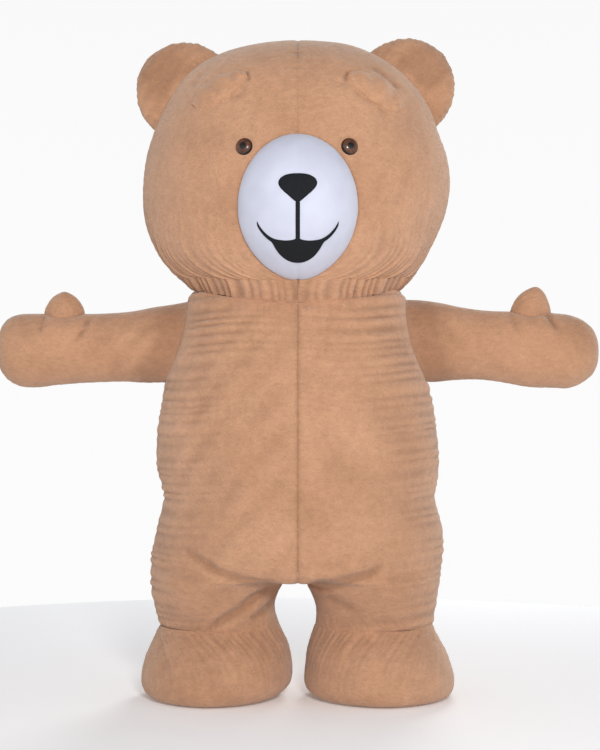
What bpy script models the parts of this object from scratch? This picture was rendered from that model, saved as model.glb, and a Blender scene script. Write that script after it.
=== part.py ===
"""Bear mascot costume: a hollow plush skin, filled out with air, standing on its own two soles.

Every cloth panel is a thin wall of its own. Each wall lies on one of a few forms (head, body with
legs, feet, arms, ears, thumbs, muzzle), and a form is worked out from a short table of sections.
Front is -Y, the viewer's left is -X, up is +Z. Tables are in millimetres, the model is in metres.
"""

import math

import bmesh
import bpy
import numpy as np

MM = 0.001
LEFT, RIGHT = -1, 1
FRONT, BACK = -1, 1
SIDE_NAMES = {LEFT: "left", RIGHT: "right"}
FACE_NAMES = {FRONT: "front", BACK: "back"}

# Cloth and seams
WALL = 3.0 * MM
SEAM_GAP = 0.3 * MM

# Each tier of the costume is raised a little, so that it clears the seam below it
BODY_LIFT = 2.2 * SEAM_GAP
HEAD_LIFT = 3.4 * SEAM_GAP
EYE_LIFT = 2.5 * SEAM_GAP
ARM_LIFT = 1.0 * SEAM_GAP
THUMB_LIFT = 3.5 * SEAM_GAP
SPINE_Y = 89.4 * MM

# The floor's height in the tables, whose heights are taken down to the soles
FLOOR_Z = 25 * MM

# Sections of the head, from the crown to the neck seam
HEAD_COLUMNS = ("z", "left", "right", "front", "back", "front_drop")
HEAD_ROWS = (
    (2580, 0, 0, 0, 0, 0),
    (2560, 195, 215, 160, 165, 0),
    (2523, 316, 307, 265, 270, 0),
    (2442, 440, 421, 375, 375, 0),
    (2334, 513, 507, 445, 432, 0),
    (2226, 562, 548, 482, 464, 0),
    (2120, 593, 584, 505, 480, 0),
    (2002, 605, 593, 516, 484, 0),
    (1900, 601, 572, 514, 476, 0),
    (1805, 574, 533, 497, 455, 0),
    (1731, 534, 494, 464, 424, 8),
    (1664, 472, 446, 412, 375, 28),
    (1632, 430, 415, 372, 345, 48),
    (1612, 400, 392, 338, 320, 63),
)

# Sections of the body and legs, from the neck seam to the ankles. "merge" is 1 where one section
# goes round the whole body and 0 where each leg has its own, whose inner side is at "left_inner"
# or "right_inner". "front_drop" and "back_drop" are how far the section dips in the middle.
BODY_COLUMNS = (
    "z", "left", "right", "front", "back", "front_drop", "back_drop", "merge", "left_inner", "right_inner",
)
BODY_ROWS = (
    (1612, 400, 392, 338, 320, 63, 0, 1.0, 40, 30),
    (1585, 425, 414, 356, 338, 54, 0, 1.0, 40, 30),
    (1540, 440, 430, 376, 356, 36, 0, 1.0, 40, 30),
    (1470, 460, 447, 402, 378, 16, 0, 1.0, 40, 30),
    (1373, 487, 470, 428, 396, 4, 0, 1.0, 40, 30),
    (1263, 518, 499, 448, 408, 0, 0, 1.0, 40, 30),
    (1177, 531, 525, 458, 414, 0, 0, 1.0, 40, 30),
    (1080, 546, 540, 464, 418, 0, 0, 1.0, 40, 30),
    (988, 554, 550, 465, 420, 0, 0, 1.0, 40, 30),
    (900, 547, 549, 460, 419, 0, 0, 1.0, 40, 30),
    (847, 532, 540, 453, 414, 0, 0, 1.0, 40, 30),
    (807, 522, 534, 448, 410, 0, 0, 1.0, 40, 30),
    (760, 532, 544, 450, 414, 2, 2, 1.0, 40, 30),
    (690, 550, 563, 456, 424, 7, 7, 1.0, 40, 30),
    (640, 561, 568, 455, 426, 18, 15, 1.0, 40, 30),
    (601, 569, 567, 445, 419, 32, 26, 1.0, 40, 30),
    (578, 572, 565, 433, 408, 42, 34, 0.97, 40, 30),
    (561, 573, 564, 417, 395, 46, 38, 0.85, 40, 30),
    (547, 573, 562, 400, 381, 43, 36, 0.62, 40, 30),
    (533, 574, 560, 386, 369, 34, 29, 0.36, 40, 30),
    (515, 574, 558, 373, 357, 21, 19, 0.12, 40, 30),
    (487, 574, 555, 358, 343, 8, 8, 0.0, 44, 30),
    (456, 572, 550, 342, 328, 0, 0, 0.0, 64, 37),
    (420, 568, 545, 319, 308, 0, 0, 0.0, 82, 54),
    (375, 560, 538, 287, 283, 0, 0, 0.0, 92, 69),
    (335, 549, 531, 250, 253, 0, 0, 0.0, 84, 71),
    (304, 538, 527, 226, 232, 0, 0, 0.0, 72, 68),
)

# Sections of the feet, from the ankle seam to the sole seam
FOOT_COLUMNS = ("z", "left", "right", "front", "back", "left_inner", "right_inner")
FOOT_ROWS = (
    (304, 538, 527, 226, 232, 72, 68),
    (283, 549, 534, 245, 239, 64, 62),
    (239, 570, 557, 287, 251, 42, 47),
    (196, 590, 581, 318, 258, 29, 35),
    (153, 604, 597, 338, 262, 22, 30),
    (110, 612, 609, 349, 263, 22, 25),
    (79, 611, 611, 347, 259, 30, 25),
    (53, 601, 605, 333, 250, 52, 36),
    (36, 583, 590, 312, 235, 78, 60),
    (28.3, 556, 562, 284, 212, 110, 96),
)

# Sections of the arms, from the shoulder seam to the mitten's tip
ARM_COLUMNS = ("reach", "top", "bottom", "depth")
ARM_ROWS = {
    LEFT: (
        (478, 1566, 1248, 146),
        (523, 1556, 1247, 143),
        (582, 1546, 1247, 139),
        (668, 1528, 1252, 134),
        (762, 1520, 1250, 131),
        (850, 1518, 1246, 131),
        (935, 1517, 1240, 134),
        (1035, 1519, 1229, 136),
        (1093, 1516, 1235, 130),
        (1130, 1503, 1255, 114),
        (1154, 1480, 1280, 90),
        (1168, 1447, 1305, 62),
        (1175, 1373, 1373, 0),
    ),
    RIGHT: (
        (462, 1574, 1250, 146),
        (510, 1572, 1250, 143),
        (578, 1562, 1255, 139),
        (656, 1544, 1260, 134),
        (735, 1532, 1258, 131),
        (825, 1528, 1245, 132),
        (904, 1526, 1231, 136),
        (990, 1522, 1228, 137),
        (1072, 1512, 1229, 132),
        (1118, 1493, 1251, 115),
        (1150, 1466, 1277, 90),
        (1168, 1436, 1306, 60),
        (1175, 1369, 1369, 0),
    ),
}

ARM_STEPS = (0, 0.1, 0.2, 0.3, 0.4, 0.5, 0.6, 0.7, 0.8, 0.9, 1)

# Sections of an ear, of a thumb: "reach" runs out from the bud's own centre
BUD_COLUMNS = ("reach", "half", "depth")
EAR_ROWS = (
    (-20, 196, 84),
    (30, 189, 84),
    (80, 171, 78),
    (125, 139, 68),
    (158, 101, 55),
    (180, 56, 34),
    (189, 0, 0),
)
EAR_STEPS = (0, 0.08, 0.28, 0.5, 0.72, 0.92, 1)
EAR_CENTRE = {LEFT: (-448, 2395), RIGHT: (428, 2411)}
EAR_TILT_DEG = {LEFT: 140.0, RIGHT: 40.0}
THUMB_ROWS = (
    (-8, 81, 68),
    (22, 76, 62),
    (48, 62, 52),
    (70, 41, 36),
    (82, 20, 18),
    (87, 0, 0),
)
THUMB_STEPS = (0, 0.125, 0.25, 0.375, 0.5, 0.625, 0.75, 0.875, 1)
THUMB_CENTRE = {LEFT: (-914, 1517), RIGHT: (910, 1524)}
THUMB_TILT_DEG = {LEFT: 92.0, RIGHT: 80.0}

# Muzzle: an upright egg on the face, pushed forward into a dome
MUZZLE_X, MUZZLE_Z = 0.0, 1894 * MM
MUZZLE_HALF, MUZZLE_TALL = 220 * MM, 264 * MM
MUZZLE_CHIN_TAPER = 0.13
MUZZLE_DEEP = 138 * MM
MUZZLE_SQUARE = 2.5
MUZZLE_STEPS = 20
MUZZLE_RINGS = (0, 0.03, 0.08, 0.17, 0.3, 0.47, 0.66, 0.84)

# Applique on the muzzle: rows of the nose from the top down, stations of the mouth from its middle out
NOSE_COLUMNS = ("z", "half")
NOSE_ROWS = (
    (1998, 14), (1994, 37), (1986, 56), (1974, 67), (1960, 69),
    (1946, 62), (1932, 49), (1918, 33), (1905, 18), (1898, 9),
)
NOSE_THICK = 9 * MM
LINE_TOP_Z, LINE_BOTTOM_Z, LINE_HALF = 1897.3 * MM, 1772 * MM, 8 * MM
MOUTH_COLUMNS = ("x", "top", "bottom")
MOUTH_ROWS = (
    (0, 1771.3, 1686),
    (14, 1765, 1687),
    (32, 1762, 1692),
    (50, 1762, 1702),
    (66, 1764, 1716),
    (80, 1767, 1735),
    (92, 1772, 1756),
    (108, 1782, 1769),
    (124, 1797, 1785),
    (138, 1815, 1804),
    (147, 1832, 1822),
)
PATCH_THICK = 3 * MM
PATCH_GAP = 0.5 * MM

# Eyes and brow pads on the head
EYE_X = {LEFT: -196 * MM, RIGHT: 189 * MM}
EYE_Z, EYE_RADIUS, EYE_RISE = 2114 * MM, 32 * MM, 17 * MM
BROW_COLUMNS = ("x", "z", "half", "rise")
BROW_ROWS = {
    LEFT: (
        (-190, 2394, 12, 8), (-207, 2387, 23, 14), (-232, 2375, 36, 20), (-264, 2360, 47, 24),
        (-300, 2341, 53, 25), (-336, 2320, 50, 22), (-366, 2299, 37, 15), (-386, 2284, 18, 8),
    ),
    RIGHT: (
        (188, 2394, 12, 8), (206, 2386, 24, 14), (234, 2373, 38, 20), (268, 2357, 49, 24),
        (302, 2337, 53, 25), (334, 2312, 48, 22), (361, 2286, 35, 15), (378, 2266, 17, 8),
    ),
}

# Zip in the centre back seam, with its slider at the top and a pull tab that hangs from it
ZIP_TOP_Z, ZIP_BOTTOM_Z = 1480 * MM, 640 * MM
ZIP_MITRE = 4 * MM
TAPE_HALF, TAPE_THICK, TAPE_STEPS = 14 * MM, 2 * MM, 18
SLIDER_WIDE, SLIDER_LONG, SLIDER_THICK = 16 * MM, 26 * MM, 3 * MM
SLIDER_DOWN = 16 * MM
BRIDGE_WIDE, BRIDGE_LONG, BRIDGE_BAR, BRIDGE_WINDOW = 4 * MM, 13 * MM, 2 * MM, 3.2 * MM
PULL_WIDE, PULL_LONG, PULL_THICK = 14 * MM, 46 * MM, 2 * MM
PULL_EYE_HALF, PULL_EYE_LONG = 4 * MM, 9 * MM

# Gathers along the seams: how far they stand out, and how far they run from the seam
SIDE_GATHER, NECK_GATHER, ANKLE_GATHER, RIM_GATHER = 8 * MM, 9 * MM, 9 * MM, 5 * MM
SIDE_WAVE, NECK_WAVES, ANKLE_WAVES = 54 * MM, 11, 9
NECK_GATHER_FROM = 0.86
HEAD_STEPS = 14

# Leg fold: a crease across the front of the left leg, from the crotch to the outer ankle
FOLD_FROM, FOLD_TO = (-75, 462), (-375, 318)
FOLD_DEEP, FOLD_WIDE = 14 * MM, 38 * MM


def curve(knots, values, at):
    """A smooth curve through values at knots, read at the places at."""
    slopes = np.gradient(values, knots)
    i = np.clip(np.searchsorted(knots, at, side="right") - 1, 0, len(knots) - 2)
    step = knots[i + 1] - knots[i]
    u = (at - knots[i]) / step
    start = (1 + 2 * u) * (1 - u) ** 2 * values[i] + u * (1 - u) ** 2 * step * slopes[i]
    end = u**2 * (3 - 2 * u) * values[i + 1] + u**2 * (u - 1) * step * slopes[i + 1]
    return start + end


def smooth(u):
    u = np.clip(u, 0, 1)
    return u * u * (3 - 2 * u)


def uneven(k, spread=0.35):
    """The same uneven factor for gather number k each run, from 1 - spread to 1 + spread."""
    return 1 + spread * np.sin(12.9898 * k + 4.1) * np.cos(3.7 * k)


def columns_of(names, rows, plain=()):
    """The table's columns by name, in metres, apart from those that are plain numbers."""
    values = np.array(rows, float).T
    return {n: v * (1 if n in plain else MM) for n, v in zip(names, values)}


class Form:
    """A surface worked out from sections. t runs from its first section to its last, f from 0 to last."""

    last = 1

    def knots(self, *columns):
        """Places of the sections along t, from the longest step that any of the columns makes."""
        steps = np.sqrt(sum(np.diff(c) ** 2 for c in columns))
        along = np.concatenate([[0], np.cumsum(steps)])
        self.length = along[-1]
        return along / along[-1]

    def at(self, name, t):
        return curve(self.t, self.columns[name], t)

    def points(self, t, f, out=0.0):
        """Points at t and f, moved out along the surface's normal by out."""
        t, f, out = np.broadcast_arrays(np.asarray(t, float), np.asarray(f, float), np.asarray(out, float))
        base = self.surface(t, f)
        moved = base + self.normals(t, f) * out[..., None]
        on_seam = np.abs(base[..., :2]) < 1e-7
        moved[..., :2] = np.where(on_seam, base[..., :2], moved[..., :2])
        return moved

    def normals(self, t, f):
        step = 1e-4
        t, f = np.clip(t, 2 * step, 1 - 2 * step), np.asarray(f, float)
        low, high = np.clip(f - step, 0, self.last), np.clip(f + step, 0, self.last)
        along = self.surface(t + step, f) - self.surface(t - step, f)
        across = self.surface(t, high) - self.surface(t, low)
        n = np.cross(along, across)
        n *= self.turn / np.maximum(np.linalg.norm(n, axis=-1, keepdims=True), 1e-12)
        return n


class Trunk(Form):
    """A quarter of the head, of the body with a leg, or half of a foot: side by side and face by face."""

    def __init__(self, names, rows, side, face, pole=False):
        c = columns_of(names, rows, plain=("merge",))
        zeros = np.zeros(len(rows))
        drop = c.get("front_drop" if face == FRONT else "back_drop", zeros)
        outer = c["left" if side == LEFT else "right"]
        inner = c.get("left_inner" if side == LEFT else "right_inner", zeros)
        merge = c.get("merge", zeros + (1.0 if "left_inner" not in c else 0.0))
        self.columns = {
            "z": c["z"],
            "middle_z": c["z"] - drop,
            "outer": outer,
            "inner": (1 - merge) * inner - merge * outer,
            "depth": c["front" if face == FRONT else "back"],
        }
        self.t = self.knots(c["z"], (c["left"] + c["right"]) / 2, (c["front"] + c["back"]) / 2)
        if pole:
            odd = ("outer", "inner", "depth")
            self.t = np.concatenate([[-self.t[1]], self.t])
            for name, v in self.columns.items():
                self.columns[name] = np.concatenate([[-v[1] if name in odd else v[1]], v])
        self.side, self.face = side, face
        self.turn = side * face * -1

    def oval(self, t):
        """The section's centre and half width, and the angle at which it meets the centre plane."""
        outer = self.at("outer", t)
        inner = np.maximum(self.at("inner", t), -outer)
        centre, half = (outer + inner) / 2, np.maximum((outer - inner) / 2, 1e-9)
        return centre, half, np.arcsin(np.clip(centre / half, 0, 1))

    def surface(self, t, f):
        centre, half, start = self.oval(t)
        depth = self.at("depth", t)
        angle = start - f * (start + math.pi / 2)
        x = self.side * (centre - half * np.sin(angle))
        y = self.face * depth * np.cos(angle)
        z = self.at("middle_z", t) + (self.at("z", t) - self.at("middle_z", t)) * smooth(f)
        return np.stack([x, y, z], axis=-1)

    def locate(self, across, z):
        """(t, f) of the points whose |x| is across and whose height is z."""
        f = np.full(np.shape(across), 0.5)
        for _ in range(10):
            t = self.level(f, z)
            centre, half, start = self.oval(t)
            f = (start - np.arcsin(np.clip((centre - across) / half, -1, 1))) / (start + math.pi / 2)
        return t, f

    def level(self, f, z):
        """t where the surface at f is at height z."""
        low, high, share = np.zeros_like(z), np.ones_like(z), smooth(f)
        for _ in range(28):
            t = (low + high) / 2
            above = self.at("z", t) * share + self.at("middle_z", t) * (1 - share) > z
            low, high = np.where(above, t, low), np.where(above, high, t)
        return (low + high) / 2

    def inside(self, p):
        """Whether each point is inside this form, for points at its side and face."""
        f = np.full(len(p), 0.5)
        for _ in range(4):
            t = self.level(f, p[:, 2])
            outer, depth = self.at("outer", t), self.at("depth", t)
            f = np.arctan2(np.abs(p[:, 0]) / outer, np.abs(p[:, 1]) / depth) / (math.pi / 2)
        return (p[:, 0] / outer) ** 2 + (p[:, 1] / depth) ** 2 < 1


class Bud(Form):
    """An arm, an ear or a thumb, grown out of a parent along its own axis in the plane of the side seams."""

    last = 2

    def __init__(self, origin, tilt, columns, parents):
        self.origin = np.array([origin[0], 0, origin[1]])
        self.axis = np.array([math.cos(tilt), 0, math.sin(tilt)])
        level = abs(self.axis[2]) < 1e-6
        self.up = np.array([0, 0, 1.0]) if level else np.array([-self.axis[2], 0, self.axis[0]])
        self.columns = columns
        self.t = self.knots(columns["reach"], columns["half"])
        mirrored = {n: (-v[-2] if n in ("half", "depth") else v[-2]) for n, v in columns.items()}
        self.t = np.append(self.t, 2 - self.t[-2])
        self.columns = {n: np.append(v, mirrored[n]) for n, v in columns.items()}
        self.parents = parents
        self.root_share = 0.55
        self.turn = -np.cross(self.axis, self.up)[1]

    def ring(self, f):
        """Where the root leaves the parent, as a distance along the axis from the first section."""
        low, high = np.full(np.shape(f), -250 * MM), np.full(np.shape(f), 250 * MM)
        flat_f = np.ravel(f)
        face = self.faces(flat_f)
        for _ in range(26):
            middle = (low + high) / 2
            p = self.section(np.zeros_like(flat_f), flat_f, np.ravel(middle))
            hit = np.where(face == FRONT, self.parents[FRONT](p), self.parents[BACK](p))
            hit = hit.reshape(np.shape(f))
            low, high = np.where(hit, middle, low), np.where(hit, high, middle)
        return (low + high) / 2

    def faces(self, f):
        return np.where(np.mod(f, 2.0) <= 1.0, FRONT, BACK)

    def section(self, t, f, further):
        """f runs from 0 at the lower seam over the front to 1 at the upper seam, then over the back to 2."""
        angle = f * math.pi - math.pi / 2
        height = self.at("middle", t) + self.at("half", t) * np.sin(angle)
        y = -self.at("depth", t) * np.cos(angle)
        reach = self.at("reach", t) + further
        flat = self.origin + reach[..., None] * self.axis + height[..., None] * self.up
        flat[..., 1] = y
        return flat

    def surface(self, t, f):
        share = np.clip(1 - t / self.root_share, 0, 1) ** 2
        return self.section(t, f, self.root_shift(f) * share)

    def root_shift(self, f):
        """The root's reach past the first section, read from a fine ring that is worked out once."""
        if not hasattr(self, "ring_table"):
            self.ring_f = np.linspace(0, 2, 97)
            self.ring_table = self.ring(self.ring_f)
        return np.interp(np.mod(f, 2.0), self.ring_f, self.ring_table)


class Muzzle(Form):
    """A dome on the face. t runs from the edge to the middle, f once round from the chin."""

    def __init__(self, face_y):
        self.face_y = face_y
        self.turn = 1

    def narrowing(self, v):
        return 1 - MUZZLE_CHIN_TAPER * np.clip(-v, 0, 1) ** 3

    def surface(self, t, f):
        radius, angle = 1 - t, f * 2 * math.pi
        v = -radius * np.cos(angle)
        x = MUZZLE_X + MUZZLE_HALF * self.narrowing(v) * radius * np.sin(-angle)
        return self.on_dome(x, MUZZLE_Z + MUZZLE_TALL * v)

    def on_dome(self, x, z):
        """The dome's points in front of x and z."""
        v = (z - MUZZLE_Z) / MUZZLE_TALL
        radius = np.hypot((x - MUZZLE_X) / (MUZZLE_HALF * self.narrowing(v)), v)
        rise = MUZZLE_DEEP * np.clip(1 - radius**MUZZLE_SQUARE, 0, 1) ** (1 / 1.6)
        return np.stack([x, self.face_y(x, z) - rise, z], axis=-1)

    def dome_points(self, x, z, out):
        """The same, moved out along the dome's normal."""
        step = 1e-4
        across = self.on_dome(x + step, z) - self.on_dome(x - step, z)
        upward = self.on_dome(x, z + step) - self.on_dome(x, z - step)
        n = np.cross(across, upward)
        n /= np.linalg.norm(n, axis=-1, keepdims=True)
        return self.on_dome(x, z) + n * np.asarray(out)[..., None]


def strip(faces, points, a, b):
    """Faces between two rows of point numbers. Rows of differing lengths are joined by short diagonals."""
    if len(a) == len(b):
        faces += [(a[i], a[i + 1], b[i + 1], b[i]) for i in range(len(a) - 1)]
        return
    i = j = 0
    while i < len(a) - 1 or j < len(b) - 1:
        far = 1e9
        step_a = math.dist(points[a[i + 1]], points[b[j]]) if i < len(a) - 1 else far
        step_b = math.dist(points[a[i]], points[b[j + 1]]) if j < len(b) - 1 else far
        if step_a <= step_b:
            faces.append((a[i], a[i + 1], b[j]))
            i += 1
        else:
            faces.append((a[i], b[j + 1], b[j]))
            j += 1


def wall(name, outer, inner, material, closed=False, moved=(0, 0, 0)):
    """One closed solid from the rows of points of its outer skin and of its inner skin."""
    points, faces, skins = [], [], []
    for rows in (outer, inner):
        numbered = []
        for row in rows:
            first = len(points)
            points.extend(row)
            numbers = list(range(first, first + len(row)))
            numbered.append(numbers + numbers[:1] if closed and len(row) > 1 else numbers)
        for a, b in zip(numbered, numbered[1:]):
            strip(faces, points, a, b)
        skins.append(numbered)
    out, inn = skins
    strip(faces, points, out[0], inn[0])
    strip(faces, points, out[-1], inn[-1])
    if not closed:
        strip(faces, points, [r[0] for r in out], [r[0] for r in inn])
        strip(faces, points, [r[-1] for r in out], [r[-1] for r in inn])
    return solid(name, np.array(points) + np.array(moved), [f for f in faces if len(set(f)) > 2], material)


def solid(name, points, faces, material):
    """A mesh object from points in the costume's own frame, with its faces turned outwards."""
    mesh = bpy.data.meshes.new(name)
    mesh.from_pydata([(x, y + SPINE_Y, z - FLOOR_Z) for x, y, z in points], [], faces)
    form = bmesh.new()
    form.from_mesh(mesh)
    bmesh.ops.recalc_face_normals(form, faces=form.faces)
    form.to_mesh(mesh)
    form.free()
    mesh.shade_smooth()
    mesh.set_sharp_from_angle(angle=math.radians(50))
    mesh.materials.append(material)
    made = bpy.data.objects.new(name, mesh)
    bpy.context.scene.collection.objects.link(made)
    return made


def material(name, colour, roughness, metallic=0.0):
    made = bpy.data.materials.new(name)
    made.use_nodes = True
    shader = made.node_tree.nodes["Principled BSDF"]
    shader.inputs["Base Color"].default_value = (*colour, 1.0)
    shader.inputs["Roughness"].default_value = roughness
    shader.inputs["Metallic"].default_value = metallic
    return made


def edge_round(ring_t, ring_f, seam):
    """An edge that keeps to the seam but for a detour round a hole, and the hole's own rows."""
    order = np.argsort(ring_t)
    ts, fs = ring_t[order], ring_f[order]

    def edge(t):
        return np.where((t > ts[0]) & (t < ts[-1]), np.interp(t, ts, fs), seam)

    return edge, ts


def rows_between(must, count):
    """Rows from 0 to 1: all that must be there, then the plain ones where there is room."""
    rows = [0.0, 1.0, *must]
    for row in np.linspace(0, 1, count):
        if min(abs(row - kept) for kept in rows) > 0.55 / (count - 1):
            rows.append(row)
    return np.unique(rows)


def head_forms():
    panels = [(side, face) for side in (LEFT, RIGHT) for face in (FRONT, BACK)]
    return {key: Trunk(HEAD_COLUMNS, HEAD_ROWS, *key, pole=True) for key in panels}


def body_forms():
    return {(s, f): Trunk(BODY_COLUMNS, BODY_ROWS, s, f) for s in (LEFT, RIGHT) for f in (FRONT, BACK)}


def foot_forms():
    return {(s, f): Trunk(FOOT_COLUMNS, FOOT_ROWS, s, f) for s in (LEFT, RIGHT) for f in (FRONT, BACK)}


def parents_of(forms, side):
    return {face: forms[side, face].inside for face in (FRONT, BACK)}


def arm_form(body, side):
    c = columns_of(ARM_COLUMNS, ARM_ROWS[side])
    columns = {
        "reach": c["reach"],
        "middle": (c["top"] + c["bottom"]) / 2,
        "half": (c["top"] - c["bottom"]) / 2,
        "depth": c["depth"],
    }
    return Bud((0, 0), math.pi if side == LEFT else 0.0, columns, parents_of(body, side))


def bud_form(rows, centre, tilt_deg, parents):
    columns = columns_of(BUD_COLUMNS, rows)
    columns["middle"] = np.zeros(len(rows))
    return Bud((centre[0] * MM, centre[1] * MM), math.radians(tilt_deg), columns, parents)


def ear_form(head, side):
    bud = bud_form(EAR_ROWS, EAR_CENTRE[side], EAR_TILT_DEG[side], parents_of(head, side))
    return bud


def thumb_form(arm, side):
    def in_arm(p):
        reach = np.abs(p[:, 0])
        low, high = np.zeros(len(p)), np.ones(len(p))
        for _ in range(40):
            t = (low + high) / 2
            short = arm.at("reach", t) < reach
            low, high = np.where(short, t, low), np.where(short, high, t)
        up = (p[:, 2] - arm.at("middle", t)) / arm.at("half", t)
        return up**2 + (p[:, 1] / arm.at("depth", t)) ** 2 < 1

    return bud_form(THUMB_ROWS, THUMB_CENTRE[side], THUMB_TILT_DEG[side], {FRONT: in_arm, BACK: in_arm})


def face_y(head):
    """The head's front at x and z, as a function."""

    def front(x, z):
        shape = np.shape(x)
        x, z = np.ravel(x), np.ravel(z)
        y = np.zeros(len(x))
        for side in (LEFT, RIGHT):
            here = (x * side > 0) | ((x == 0) & (side == RIGHT))
            if here.any():
                form = head[side, FRONT]
                t, f = form.locate(np.abs(x[here]), z[here])
                y[here] = form.surface(t, f)[..., 1]
        return y.reshape(shape)

    return front


def bud_ring(bud, face, steps):
    """The root's points on one face, from one seam to the other, at the steps of its own panels."""
    f = np.array(steps, float) if face == FRONT else 2 - np.array(steps, float)
    return bud.surface(np.zeros(len(f)), f)


def hole_at_side(form, bud, face, steps):
    """The panel's edge at the side seam, led round a bud's root."""
    ring = bud_ring(bud, face, steps)
    t, f = form.locate(np.abs(ring[:, 0]), ring[:, 2])
    f[[0, -1]] = 1.0
    return edge_round(t, f, 1.0)


def gather(k, fade, deep):
    """A seam gather's rise at row k: every other row stands out, unevenly, and less away from the seam."""
    return deep * fade * (k % 2) * uneven(k)


def head_panels(head, ears, muzzle, cloth):
    """Four panels. Rows go round the head, with more points in the lowest ones, gathered at the neck."""
    count = MUZZLE_STEPS
    around = muzzle.surface(np.zeros(count), np.arange(count) / count)
    for (side, face), form in head.items():
        outer_edge, ear_t = hole_at_side(form, ears[side], face, EAR_STEPS)
        must, inner_edge = [*ear_t], lambda t: np.zeros_like(t)
        if face == FRONT:
            half = around[around[:, 0] * side > -1e-6]
            half = half[np.argsort(-half[:, 2])]
            mt, mf = form.locate(np.abs(half[:, 0]), half[:, 2])
            mf[[0, -1]] = 0.0
            inner_edge, muzzle_t = edge_round(mt, mf, 0.0)
            must = [*must, *muzzle_t]
        rows = rows_between(must, HEAD_STEPS)
        outer, inner = [form.points([0.0], [0.5])], [form.points([0.0], [0.5], -WALL)]
        for t in rows[1:]:
            low, high = float(inner_edge(np.array(t))), float(outer_edge(np.array(t)))
            fade = smooth((t - NECK_GATHER_FROM) / 0.05) * smooth((1 - t) / 0.02)
            points = 2 * NECK_WAVES + 1 if t > NECK_GATHER_FROM else 9
            rise = gather(np.arange(points), fade, NECK_GATHER)
            outer.append(form.points(t, np.linspace(low, high, points), rise))
            inner.append(form.points(t, np.linspace(low, high, 9), -WALL))
        name = f"head_{FACE_NAMES[face]}_{SIDE_NAMES[side]}"
        shift = (side * SEAM_GAP / 2, face * SEAM_GAP / 2, HEAD_LIFT)
        wall(name, outer, inner, cloth, moved=shift)


def fold_depth(p, side, face):
    """How far the leg fold pulls the cloth in at points p."""
    if (side, face) != (LEFT, FRONT):
        return np.zeros(len(p))
    a, b = np.array(FOLD_FROM) * MM, np.array(FOLD_TO) * MM
    along = (b - a) / np.linalg.norm(b - a)
    q = p[:, [0, 2]] - a
    s = q @ along / np.linalg.norm(b - a)
    away = q @ np.array([-along[1], along[0]])
    return FOLD_DEEP * np.exp(-((away / FOLD_WIDE) ** 2)) * smooth(s * 5) * smooth((1 - s) * 4)


def body_panels(body, arms, cloth):
    """Four panels, each with its leg. Columns run from neck to ankle, with more rows at the side seam."""
    for (side, face), form in body.items():
        outer_edge, arm_t = hole_at_side(form, arms[side], face, ARM_STEPS)
        fine = rows_between(arm_t, 2 * round(form.length / SIDE_WAVE) + 1)
        if len(fine) % 2 == 0:
            fine = np.sort(np.append(fine, (fine[-2] + fine[-1]) / 2))
        coarse = fine[::2]
        if (side, face) == (LEFT, FRONT):
            coarse = np.concatenate([coarse[coarse < 0.8], fine[fine >= 0.8]])
        heights = [ZIP_TOP_Z + ZIP_MITRE, ZIP_TOP_Z, ZIP_BOTTOM_Z, ZIP_BOTTOM_Z - ZIP_MITRE]
        slot = form.level(np.zeros(4), np.array(heights))
        if face == BACK:
            coarse = rows_between([*slot, *coarse[1:-1]], 3)
            near = [t for t in coarse if t not in slot and np.abs(slot - t).min() < 0.012]
            coarse = np.array([t for t in coarse if t not in near])

        def inner_edge(t):
            if face == FRONT:
                return np.zeros_like(t)
            beside = (TAPE_HALF + SEAM_GAP / 2) / (math.pi / 2 * form.at("outer", t))
            return beside * np.interp(t, slot, [0, 1, 1, 0])

        plain = 9 if (side, face) == (LEFT, FRONT) else 6
        outer, inner = [], []
        shares = [*np.linspace(0, 0.77, plain), 0.88, 0.95, 1.0]
        for share in shares:
            fade = np.interp(share, [0.77, 0.88, 0.95, 1.0], [0, 0.7, 1.0, 0.55])
            t = fine if fade else coarse
            f = inner_edge(t) * (1 - share) + outer_edge(t) * share
            k = np.arange(len(t))
            below = smooth((t - arm_t.max()) * 30) * smooth((1 - t) * 20)
            base = form.points(t, f)
            rise = gather(k, fade, SIDE_GATHER) * below - fold_depth(base, side, face)
            outer.append(form.points(t, f, rise))
        for share in [*np.linspace(0, 0.77, plain), 0.9, 1.0]:
            t = fine if share == 1.0 else coarse
            f = inner_edge(t) * (1 - share) + outer_edge(t) * share
            base = form.points(t, f)
            inner.append(form.points(t, f, -WALL - fold_depth(base, side, face)))
        name = f"body_{FACE_NAMES[face]}_{SIDE_NAMES[side]}"
        shift = (side * SEAM_GAP / 2, face * SEAM_GAP / 2, BODY_LIFT)
        wall(name, outer, inner, cloth, moved=shift)


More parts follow.
